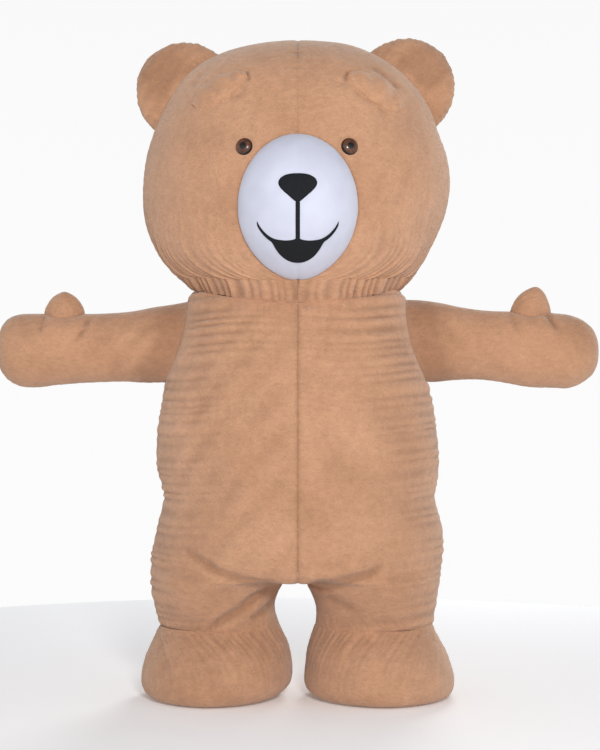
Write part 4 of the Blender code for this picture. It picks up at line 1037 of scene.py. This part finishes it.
def sole_cloth(feet, side, plush):
    """The flat sole, a disc whose rim is turned up a little into the seam."""
    turn = np.linspace(0, 1, 61)
    front, back = (feet[side, face].surface(np.ones(61), turn) for face in (FRONT, BACK))
    ring = np.concatenate([front[:-1], back[::-1][:-1]])
    middle = ring.mean(axis=0)
    rings_out, rings_in = [], []
    for share in (1.0, 0.97, 0.93, 0.8, 0.6, 0.4, 0.2):
        at = middle + (ring - middle) * share
        height = FLOOR_Z + SOLE_TURN_UP * smooth((share - 0.9) / 0.1)
        rings_out.append(np.column_stack([at[:, :2], np.full(len(at), height)]))
        rings_in.append(np.column_stack([at[:, :2], np.full(len(at), height + SOLE_THICK)]))
    low = np.array([middle[0], middle[1], FLOOR_Z])
    high = low + np.array([0, 0, SOLE_THICK])
    grids = np.array(rings_out), np.array(rings_in)
    made = cloth(f"sole_{SIDE_NAMES[side]}_cloth", *grids, plush, closed=True, last=(low, high))
    size = ring.max(axis=0) - ring.min(axis=0)
    piece(made, f"sole_{SIDE_NAMES[side]}", (size[0], size[1], size[0] * size[1] * math.pi / 4))


def arm_cloth(arms, thumbs, plush):
    for side, arm in arms.items():
        for face in (FRONT, BACK):
            turn = (1 - np.cos(np.linspace(0, math.pi, 41))) / 2
            ring = bud_ring(thumbs[side], face, turn)
            t, f = arm_locate(arm, ring, face)
            f[[0, -1]] = 1.0
            top_edge, thumb_t = edge_round(t, f, 1.0)
            rows = even_rows(arm, 0.0, 0.996, thumb_t)
            turned = Turned(arm, face)
            seed = 2.3 * side + 0.6 * face
            thumb_x, thumb_z = THUMB_CENTRE[side][0] * MM, THUMB_CENTRE[side][1] * MM

            def relief(p, e):
                x, z = p[..., 0], p[..., 2]
                rise = ROOT_DEEP * beyond(e["top"], ROOT_REACH) * away(e["top"])
                rise = rise * ripple(e["low"], ROOT_PITCH, seed)
                by_thumb = np.exp(-(((x - thumb_x) / 0.11) ** 4))
                for edge, plain in (("low", 1.0), ("high", 1 - by_thumb)):
                    rise = rise + hem(e, edge, ARM_SIDE, x, side + face) * plain
                    rise = rise - PINCH * 0.8 * beyond(e[edge], SEAM_HALF) * plain
                depth = e["top"] / ROOT_DIP_AT
                inside = away(e["low"], 45 * MM) * away(e["high"], 45 * MM)
                rise = rise - ROOT_DIP * depth * np.exp(1 - depth) * inside
                swell = np.exp(-(((x - thumb_x) / 0.075) ** 2) - ((z - thumb_z + 0.07) / 0.07) ** 2)
                rise = rise + 7 * MM * swell * away(e["high"], 20 * MM) * (face == FRONT)
                rise = rise + creases(p, ARM_CREASES[side])
                rise = rise + LUMP_DEEP * lumps(p, 0.21, seed) * calm(e, "high", "low", "top")
                return rise * away(e["high"], 3 * MM * by_thumb + 1e-6)

            outer, inner, painted_light, sizes = skin(turned, rows, plain_edge(0), top_edge, 60, relief)
            # Painted shade on the arm near its root, where it meets the body
            painted_light = shaded(painted_light, np.linalg.norm(outer - outer[:1], axis=-1), ROOT_SHADE_REACH)
            tip = turned.surface(np.array([1.0]), np.array([0.5]))[0]
            moved = (-arm.axis[0] * BUD_SINK, face * SEAM_GAP / 2, 0)
            grids = outer, inner, painted_light, sizes
            panel("arm", side, face, grids, plush, moved, last=(tip, tip - arm.axis * INNER_SKIN))


class Turned:
    """The front or back half of a bud, with f from 0 to 1 between its two seams."""

    def __init__(self, bud, face):
        self.bud, self.face, self.length = bud, face, bud.length

    def f_of(self, f):
        return f if self.face == FRONT else 2 - f

    def surface(self, t, f):
        return self.bud.surface(t, self.f_of(f))

    def normals(self, t, f):
        return self.bud.normals(t, self.f_of(f))


def ear_cloth(ears, plush):
    for side, ear in ears.items():
        for face in (FRONT, BACK):
            turned = Turned(ear, face)
            seed = side + 2 * face

            def relief(p, e):
                rise = np.zeros(p.shape[:-1])
                for edge in ("low", "high"):
                    rise = rise + hem(e, edge, EAR_RIM, e["top"], seed + (edge == "low"), 5 * MM)
                    rise = rise - 2 * MM * beyond(e[edge], 7 * MM)
                rise = rise + hem(e, "top", EAR_ROOT, e["low"], seed)
                hollow = np.exp(-(((e["low"] - e["high"]) / 0.16) ** 2)) * smooth(e["top"] / 0.06)
                return rise - 9 * MM * hollow * (face == FRONT) + 2.5 * MM * lumps(p, 0.14, seed)

            grids = skin(turned, even_rows(ear, 0.0, 0.994), plain_edge(0), plain_edge(1), 72, relief)
            tip = turned.surface(np.array([1.0]), np.array([0.5]))[0]
            moved = (-ear.axis[0] * BUD_SINK, face * SEAM_GAP / 2, -ear.axis[2] * BUD_SINK)
            panel("ear", side, face, grids, plush, moved, last=(tip, tip - ear.axis * INNER_SKIN))


def thumb_cloth(thumbs, plush):
    for side, thumb in thumbs.items():
        seed = 1.9 * side

        def relief(p, e):
            rise = hem(e, "top", THUMB_ROOT, e["low"], seed)
            seams = np.minimum(np.abs(p[..., 1]), 0.05)
            rise = rise - 2.5 * MM * np.exp(-seams / (7 * MM)) + 1.5 * MM * lumps(p, 0.09, seed)
            return rise * away(e["top"], 12 * MM) - 2 * MM * beyond(e["top"], 6 * MM)

        rows = even_rows(thumb, 0.0, 0.99)
        outer, inner, painted_light, sizes = skin(thumb, rows, plain_edge(0), plain_edge(2), 97, relief)
        tip = thumb.surface(np.array([1.0]), np.array([0.5]))[0]
        low = outer[0, :, 2].max()

        def drawn_up(q):
            share = np.maximum(q[..., 2:] - low, 0) / (tip[2] - low)
            return q + share**1.3 * np.array([THUMB_LEAN[side], 0, THUMB_TALLER[side]])

        outer, inner = drawn_up(outer), drawn_up(inner)
        made = cloth(
            f"thumb_{SIDE_NAMES[side]}_cloth", outer[:, :-1], inner[:, :-1], plush,
            closed=True, painted_light=painted_light[:, :-1], moved=(0, 0, -THUMB_SINK),
            last=(drawn_up(tip), drawn_up(tip - thumb.axis * INNER_SKIN)),
        )
        piece(made, f"thumb_{SIDE_NAMES[side]}", sizes)


def muzzle_cloth(muzzle, white):
    def relief(p, e):
        x, z = p[..., 0], p[..., 2]
        rise = hem(e, "top", MUZZLE_RIM, e["low"], 2)
        chin = np.exp(-((x / (9 * MM)) ** 2)) * smooth((1.70 - z) / 0.03)
        bridge = np.exp(-((x / (7 * MM)) ** 2)) * smooth((z - 2.0) / 0.03)
        return rise - 4 * MM * chin - 1.2 * MM * bridge + 1.2 * MM * lumps(p, 0.17, 3)

    rows = np.linspace(0, 0.985, 74)
    rows = np.concatenate([[0, 0.003, 0.008, 0.016, 0.027], rows[rows > 0.035]])
    outer, inner, painted_light, sizes = skin(muzzle, rows, plain_edge(0), plain_edge(1), 193, relief)
    tip = muzzle.surface(np.array([1.0]), np.array([0.5]))[0]
    inward = np.array([0, INNER_SKIN, 0])
    made = cloth(
        "muzzle_cloth_cap", outer[:, :-1], inner[:, :-1], white,
        closed=True, last=(tip, tip + inward), moved=(0, 1.0 * MM, 0),
    )
    piece(made, "muzzle", (2 * MUZZLE_HALF * 1.35, 2 * MUZZLE_TALL * 1.25, sizes[2]))


def finer(knots, *columns, count):
    """Table columns read at evenly spaced places between their knots."""
    at = np.linspace(knots[0], knots[-1], count)
    return [at, *(curve(knots, c, at) for c in columns)]


def applique(node, muzzle, rows, felt, thick, flat, most, moved=(0, 0.4 * MM, 0)):
    """A black patch on the muzzle, from rows of x, z and swell, whose rim is rounded down to the cloth.
    flat is its flat cut's width and height, and most is the cut's area at most."""
    name = f"{node}_patch"
    x, z, swell = np.moveaxis(np.array(rows, float), -1, 0)
    m, n = x.shape
    i, j = np.meshgrid(np.arange(m), np.arange(n), indexing="ij")
    rim = np.minimum(np.minimum(i, m - 1 - i) / 2.0, np.minimum(j, n - 1 - j) / 2.0)
    rounded = np.sqrt(np.clip(1 - (1 - np.clip(rim, 0, 1)) ** 2, 0, 1))
    inner = muzzle.dome_points(x, z, np.full(x.shape, -1.5 * MM))
    rise = PATCH_RIM + (PATCH_THICK - PATCH_RIM) * rounded + (thick - PATCH_THICK) * swell
    outer = muzzle.dome_points(x, z, rise)
    made = cloth(name, outer, inner, felt, moved=moved)
    piece(made, node, (*flat, min(cells_area(outer), most)))


def face_cloth(muzzle, felt):
    c = columns_of(NOSE_COLUMNS, NOSE_ROWS)
    z, half = finer(-c["z"], c["half"], count=44)
    z = -z
    across = np.linspace(-1, 1, 41)
    middle, tall = (z[0] + z[-1]) / 2, (z[0] - z[-1]) / 2
    rows = []
    for zz, h in zip(z, half):
        swell = np.sqrt(np.clip(1 - across**2, 0, 1) * max(0.0, 1 - ((zz - middle) / tall) ** 2))
        rows.append(np.stack([MUZZLE_X + h * across, np.full(41, zz), swell], axis=-1))
    applique("nose", muzzle, rows, felt, NOSE_THICK, (0.15, 0.11), 0.0165)
    rows = []
    for zz in np.linspace(LINE_TOP_Z + 6 * MM, LINE_BOTTOM_Z - 4 * MM, 60):
        rows.append([(MUZZLE_X + LINE_HALF * a, zz, 0) for a in np.linspace(-1, 1, 11)])
    applique("nose_line", muzzle, rows, felt, PATCH_THICK, (0.017, 0.137), 0.0023, (0, 0.5 * MM, 0))
    c = columns_of(MOUTH_COLUMNS, MOUTH_ROWS)
    x, top, bottom = finer(c["x"], c["top"], c["bottom"], count=56)
    rows = []
    for k in [*range(len(x) - 1, 0, -1)] + [*range(len(x))]:
        sign = -1 if len(rows) < len(x) - 1 else 1
        zz = np.linspace(top[k], bottom[k], 21)
        rows.append(np.stack([np.full(21, MUZZLE_X + sign * x[k]), zz, np.zeros(21)], axis=-1))
    applique("mouth", muzzle, rows, felt, PATCH_THICK, (0.33, 0.15), 0.04)


def brow_cushions(head, plush):
    across = np.linspace(-1, 1, 31)
    for side, rows in BROW_ROWS.items():
        c = columns_of(BROW_COLUMNS, rows)
        knots = np.arange(len(rows), dtype=float)
        at, x0, z0, half, rise0 = finer(knots, c["x"], c["z"], c["half"], c["rise"], count=64)
        run = np.stack([np.gradient(x0), np.gradient(z0)], axis=-1)
        run /= np.linalg.norm(run, axis=-1, keepdims=True)
        x = x0[:, None] - run[:, 1:] * across * half[:, None]
        z = z0[:, None] + run[:, :1] * across * half[:, None]
        pucker = ripple(at[:, None] * 30 * MM + 0 * across, 22 * MM, side) * np.abs(across) ** 3
        crown = (1 - np.abs(across) ** 2.2) ** 0.72
        uneven_fill = 1 + 0.22 * np.sin(3.1 * at[:, None] + 2.2 * across + side)
        up = 0.3 * MM + rise0[:, None] * crown * (1 - 0.3 * pucker) * uneven_fill
        flat_x, flat_z = x.ravel(), z.ravel()
        outer = on_head(head, flat_x, flat_z, up.ravel()).reshape(*x.shape, 3)
        inner = on_head(head, flat_x, flat_z, np.full(x.size, -2 * MM)).reshape(*x.shape, 3)
        made = cloth(f"brow_{SIDE_NAMES[side]}_pad", outer, inner, plush)
        piece(made, f"brow_{SIDE_NAMES[side]}")


def eye_domes(head, brown):
    """Glossy domed eyes: a brown iris round a black pupil, and a short skirt into the plush."""
    count = 64
    turn = np.arange(count) / count * 2 * math.pi
    for side in (LEFT, RIGHT):
        x, z = np.array([EYE_X[side]]), np.array([EYE_Z])
        spot = on_head(head, x, z, np.zeros(1))[0]
        out = on_head(head, x, z, np.ones(1))[0] - spot
        right = np.cross([0, 0, 1.0], -out)
        right /= np.linalg.norm(right)
        up = np.cross(-out, right)
        spot = spot + PLACE
        points, faces = [], []
        for share, rise in EYE_PROFILE:
            ring = EYE_RADIUS * share * (np.cos(turn)[:, None] * right + np.sin(turn)[:, None] * up)
            points.extend(spot + out * rise * MM + ring)
        points.append(spot + out * 17.8 * MM)
        points.append(spot - out * 4.0 * MM)
        for k in range(len(EYE_PROFILE) - 1):
            for i in range(count):
                j = (i + 1) % count
                faces.append((k * count + i, k * count + j, (k + 1) * count + j, (k + 1) * count + i))
        last = (len(EYE_PROFILE) - 1) * count
        faces += [(last + i, last + (i + 1) % count, len(points) - 2) for i in range(count)]
        faces += [((i + 1) % count, i, len(points) - 1) for i in range(count)]
        made = solid(f"eye_{SIDE_NAMES[side]}_dome", np.array(points), faces, brown[0])
        made.data.materials.append(brown[1])
        for polygon in made.data.polygons:
            centre = np.array(polygon.center) - spot
            flat = centre - out * (centre @ out)
            from_middle = np.linalg.norm(flat) / EYE_RADIUS
            if (from_middle < PUPIL_SHARE or from_middle > IRIS_SHARE) and centre @ out > 0:
                polygon.material_index = 1
        piece(made, f"eye_{SIDE_NAMES[side]}")


def zip_pieces(body, tape, metal):
    """Woven tapes with a ridge of teeth down the middle."""
    steps = 200
    z = np.linspace(ZIP_TOP_Z, ZIP_BOTTOM_Z, steps)
    line, out = back_line(body, z)
    for side in (LEFT, RIGHT):
        outer, inner = [], []
        for x, rise in ((0.2, 0.6), (3.5, 0.6), (4.5, 0.0), (9.0, 0.0), (13.9, -0.2)):
            across = np.array([side * x * MM, 0, 0])
            outer.append(line + across + out * rise * MM)
            inner.append(line + across - out * TAPE_THICK)
        made = cloth(f"zip_tape_{SIDE_NAMES[side]}_weave", np.array(outer), np.array(inner), tape)
        piece(made, f"zip_tape_{SIDE_NAMES[side]}", (0.014, 0.88, 0.014 * 0.86))
    zip_teeth(body, metal)


def zip_teeth(body, metal):
    pitch, half, long, tall = 3.4 * MM, 3.1 * MM, 1.1 * MM, 1.5 * MM
    start, end = ZIP_TOP_Z - 32 * MM, ZIP_BOTTOM_Z + 6 * MM
    count = int((start - end) / pitch)
    z = start - np.arange(count) * pitch
    line, out = back_line(body, z)
    points, faces = [], []
    corners = [(0, 1, 3, 2), (4, 6, 7, 5), (0, 4, 5, 1), (2, 3, 7, 6), (0, 2, 6, 4), (1, 5, 7, 3)]
    for k in range(count):
        side = LEFT if k % 2 else RIGHT
        normal = out[k]
        down = np.array([0, normal[2], -normal[1]])
        first = len(points)
        for a in (-0.35 * half, half):
            for b in (-long / 2, long / 2):
                for h, shrink in ((0.3 * MM, 1.0), (0.6 * MM + tall, 0.72)):
                    across = np.array([side * a * shrink, 0, 0])
                    points.append(line[k] + across + down * b * 1.4 * shrink + normal * h + PLACE)
        faces += [tuple(first + c for c in f) for f in corners]
    made = solid("zip_teeth_run", np.array(points), faces, metal)
    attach(made, "costume")


def shader(name):
    made = bpy.data.materials.new(name)
    made.use_nodes = True
    nodes, links = made.node_tree.nodes, made.node_tree.links
    return made, nodes, links, nodes["Principled BSDF"]


def noise(nodes, links, place, scale, detail=2.0, stretch=(1, 1, 1)):
    mapping = nodes.new("ShaderNodeMapping")
    mapping.inputs["Scale"].default_value = stretch
    links.new(place, mapping.inputs["Vector"])
    made = nodes.new("ShaderNodeTexNoise")
    made.inputs["Scale"].default_value = scale
    made.inputs["Detail"].default_value = detail
    links.new(mapping.outputs["Vector"], made.inputs["Vector"])
    return made.outputs["Fac"]


def ramp(nodes, links, source, stops):
    made = nodes.new("ShaderNodeValToRGB")
    while len(made.color_ramp.elements) < len(stops):
        made.color_ramp.elements.new(0.5)
    for element, (at, colour) in zip(made.color_ramp.elements, stops):
        element.position = at
        element.color = (*colour, 1)
    links.new(source, made.inputs["Fac"])
    return made.outputs["Color"]


def mixed(nodes, links, a, b, share):
    made = nodes.new("ShaderNodeMix")
    made.data_type = "RGBA"
    made.blend_type = "MULTIPLY"
    made.inputs["Factor"].default_value = share
    links.new(a, made.inputs["A"])
    links.new(b, made.inputs["B"])
    return made.outputs["Result"]


def bumps(nodes, links, out, *heights):
    """A chain of bumps from (height socket, strength, distance)."""
    last = None
    for height, strength, distance in heights:
        made = nodes.new("ShaderNodeBump")
        made.inputs["Strength"].default_value = strength
        made.inputs["Distance"].default_value = distance
        links.new(height, made.inputs["Height"])
        if last is not None:
            links.new(last, made.inputs["Normal"])
        last = made.outputs["Normal"]
    links.new(last, out.inputs["Normal"])


def grained(name, scale, detail, colours, look, relief=None):
    """A material whose one grain runs from dark to light; relief is its bump's strength and depth."""
    made, nodes, links, out = shader(name)
    place = nodes.new("ShaderNodeTexCoord").outputs["Object"]
    grain = noise(nodes, links, place, scale, detail)
    base = ramp(nodes, links, grain, ((0.3, colours[0]), (0.7, colours[1])))
    links.new(base, out.inputs["Base Color"])
    for socket, value in look.items():
        out.inputs[socket].default_value = value
    if relief:
        bumps(nodes, links, out, (grain, *relief))
    return made


def plush_material():
    """Short-nap plush: soft mottling where the nap lies different ways, fine nap, and sheen, with painted
    shade in its folds and painted highlight on its ridges.
    """
    made, nodes, links, out = shader("plush_with_painted_light")
    place = nodes.new("ShaderNodeTexCoord").outputs["Object"]
    broad = noise(nodes, links, place, 3.2, 2.0)
    cloud = noise(nodes, links, place, 26.0, 3.0)
    tuft = noise(nodes, links, place, 80.0, 2.0, (0.6, 0.6, 1))
    nap = noise(nodes, links, place, 230.0, 3.0, (0.7, 0.7, 1))
    fibre = noise(nodes, links, place, 620.0, 2.0, (1, 1, 0.5))
    tan = ramp(nodes, links, broad, ((0.3, PLUSH_DARK), (0.7, PLUSH_LIGHT)))
    patches = ramp(nodes, links, cloud, ((0.3, (0.86, 0.84, 0.82)), (0.7, (1.08, 1.08, 1.08))))
    tufts = ramp(nodes, links, tuft, ((0.32, (0.84, 0.83, 0.82)), (0.68, (1.08, 1.07, 1.06))))
    specks = ramp(nodes, links, nap, ((0.3, (0.8, 0.77, 0.74)), (0.68, (1.1, 1.1, 1.1))))
    colour = mixed(nodes, links, tan, patches, 0.48)
    colour = mixed(nodes, links, colour, tufts, 0.42)
    colour = mixed(nodes, links, colour, specks, 0.45)
    # Painted light: the colour is darkened in folds and lightened on ridges by each point's painted shade and
    # highlight
    painted_light_attribute = nodes.new("ShaderNodeAttribute")
    painted_light_attribute.attribute_name = "painted_light_attribute"
    painted_light_colour = ramp(nodes, links, painted_light_attribute.outputs["Fac"], PAINTED_LIGHT_STOPS)
    colour = mixed(nodes, links, colour, painted_light_colour, 0.85)
    links.new(colour, out.inputs["Base Color"])
    out.inputs["Roughness"].default_value = 0.95
    out.inputs["Specular IOR Level"].default_value = 0.12
    out.inputs["Sheen Weight"].default_value = 0.42
    out.inputs["Sheen Roughness"].default_value = 0.45
    out.inputs["Sheen Tint"].default_value = (1.0, 0.9, 0.8, 1.0)
    bumps(nodes, links, out, (cloud, 0.4, 0.014), (tuft, 0.5, 0.006), (nap, 0.7, 0.005), (fibre, 0.5, 0.002))
    return made


def muzzle_material():
    """Smooth short velour, almost white with a cool cast."""
    made, nodes, links, out = shader("muzzle_velour")
    place = nodes.new("ShaderNodeTexCoord").outputs["Object"]
    cloud = noise(nodes, links, place, 9.0, 2.0)
    nap = noise(nodes, links, place, 520.0, 2.0)
    base = ramp(nodes, links, cloud, ((0.3, MUZZLE_DARK), (0.7, MUZZLE_LIGHT)))
    links.new(base, out.inputs["Base Color"])
    out.inputs["Roughness"].default_value = 0.85
    out.inputs["Specular IOR Level"].default_value = 0.2
    out.inputs["Sheen Weight"].default_value = 0.15
    bumps(nodes, links, out, (cloud, 0.12, 0.006), (nap, 0.3, 0.0012))
    return made


def felt_material():
    look = {"Roughness": 0.88, "Specular IOR Level": 0.2}
    return grained("black_velour", 480.0, 2.0, FELT_COLOURS, look, (0.4, 0.001))


def eye_materials():
    iris = {"Roughness": 0.3, "Specular IOR Level": 0.3, "Coat Weight": 0.35, "Coat Roughness": 0.05}
    pupil = {"Roughness": 0.25, "Specular IOR Level": 0.3, "Coat Weight": 0.45, "Coat Roughness": 0.04}
    made = grained("eye_iris", 60.0, 2.0, IRIS_COLOURS, iris)
    return made, grained("eye_pupil", 80.0, 1.0, PUPIL_COLOURS, pupil)


def tape_material():
    made, nodes, links, out = shader("zip_weave")
    place = nodes.new("ShaderNodeTexCoord").outputs["Object"]
    ribs = nodes.new("ShaderNodeTexWave")
    ribs.inputs["Scale"].default_value = 420.0
    ribs.inputs["Distortion"].default_value = 0.6
    ribs.bands_direction = "Z"
    links.new(place, ribs.inputs["Vector"])
    base = ramp(nodes, links, ribs.outputs["Fac"], ((0.2, TAPE_COLOURS[0]), (0.8, TAPE_COLOURS[1])))
    links.new(base, out.inputs["Base Color"])
    out.inputs["Roughness"].default_value = 0.8
    bumps(nodes, links, out, (ribs.outputs["Fac"], 0.5, 0.0006))
    return made


def metal_material():
    look = {"Metallic": 1.0, "Roughness": 0.34}
    return grained("zip_antique_brass", 300.0, 3.0, BRASS_COLOURS, look, (0.15, 0.0004))


def stage_set():
    mesh = bpy.data.meshes.new("floor_disc")
    turns = [2 * math.pi * k / FLOOR_SIDES for k in range(FLOOR_SIDES)]
    rim = [(FLOOR_REACH * math.cos(a), FLOOR_REACH * math.sin(a), 0) for a in turns]
    mesh.from_pydata(rim, [], [tuple(range(FLOOR_SIDES))])
    floor = bpy.data.objects.new("floor_disc", mesh)
    bpy.context.scene.collection.objects.link(floor)
    paint, nodes, links, out = shader("floor_paint")
    out.inputs["Base Color"].default_value = (*FLOOR_COLOUR, 1)
    out.inputs["Roughness"].default_value = 0.9
    out.inputs["Emission Color"].default_value = (*FLOOR_COLOUR, 1)
    out.inputs["Emission Strength"].default_value = FLOOR_GLOW
    mesh.materials.append(paint)
    world = bpy.data.worlds.new("studio_sky")
    world.use_nodes = True
    nodes, links = world.node_tree.nodes, world.node_tree.links
    way = nodes.new("ShaderNodeSeparateXYZ")
    links.new(nodes.new("ShaderNodeTexCoord").outputs["Generated"], way.inputs["Vector"])
    links.new(ramp(nodes, links, way.outputs["Z"], SKY_STOPS), nodes["Background"].inputs["Color"])
    bpy.context.scene.world = world
    for name, place, target, size, power in LIGHTS:
        light = bpy.data.lights.new(name, "AREA")
        light.shape, light.size, light.energy = "DISK", size, power
        lamp = bpy.data.objects.new(name, light)
        lamp.location = place
        lamp.rotation_euler = (Vector(target) - Vector(place)).to_track_quat("-Z", "Y").to_euler()
        bpy.context.scene.collection.objects.link(lamp)


def camera_set():
    bpy.context.scene.view_settings.view_transform = "Standard"
    data = bpy.data.cameras.new("photo_camera")
    data.sensor_fit = "AUTO"
    data.sensor_width = SENSOR
    data.lens = SENSOR * CAMERA_AWAY / FRAME_TALL
    camera = bpy.data.objects.new("photo_camera", data)
    camera.location = (CAMERA_X, -CAMERA_AWAY, CAMERA_Z)
    camera.rotation_euler = (math.pi / 2, 0, 0)
    bpy.context.scene.collection.objects.link(camera)
    bpy.context.scene.camera = camera


def main():
    camera_set()
    stage_set()
    plush, white, felt = plush_material(), muzzle_material(), felt_material()
    brown, tape, metal = eye_materials(), tape_material(), metal_material()
    head = quarters(HEAD_COLUMNS, HEAD_ROWS, pole=True)
    body, feet = quarters(BODY_COLUMNS, BODY_ROWS), quarters(FOOT_COLUMNS, FOOT_ROWS)
    arms = {side: arm_form(body, side) for side in (LEFT, RIGHT)}
    ears = {side: ear_form(head, side) for side in (LEFT, RIGHT)}
    thumbs = {side: thumb_form(arms[side], side) for side in (LEFT, RIGHT)}
    muzzle = Muzzle(face_y(head))
    head_cloth(head, ears, muzzle, plush)
    body_cloth(body, arms, plush)
    foot_cloth(feet, plush)
    arm_cloth(arms, thumbs, plush)
    ear_cloth(ears, plush)
    thumb_cloth(thumbs, plush)
    muzzle_cloth(muzzle, white)
    face_cloth(muzzle, felt)
    brow_cushions(head, plush)
    eye_domes(head, brown)
    zip_pieces(body, tape, metal)
    for name in ("zip_slider", "zip_pull"):
        node = bpy.data.objects[name]
        for k in range(len(node.material_slots)):
            node.material_slots[k].material = metal


main()
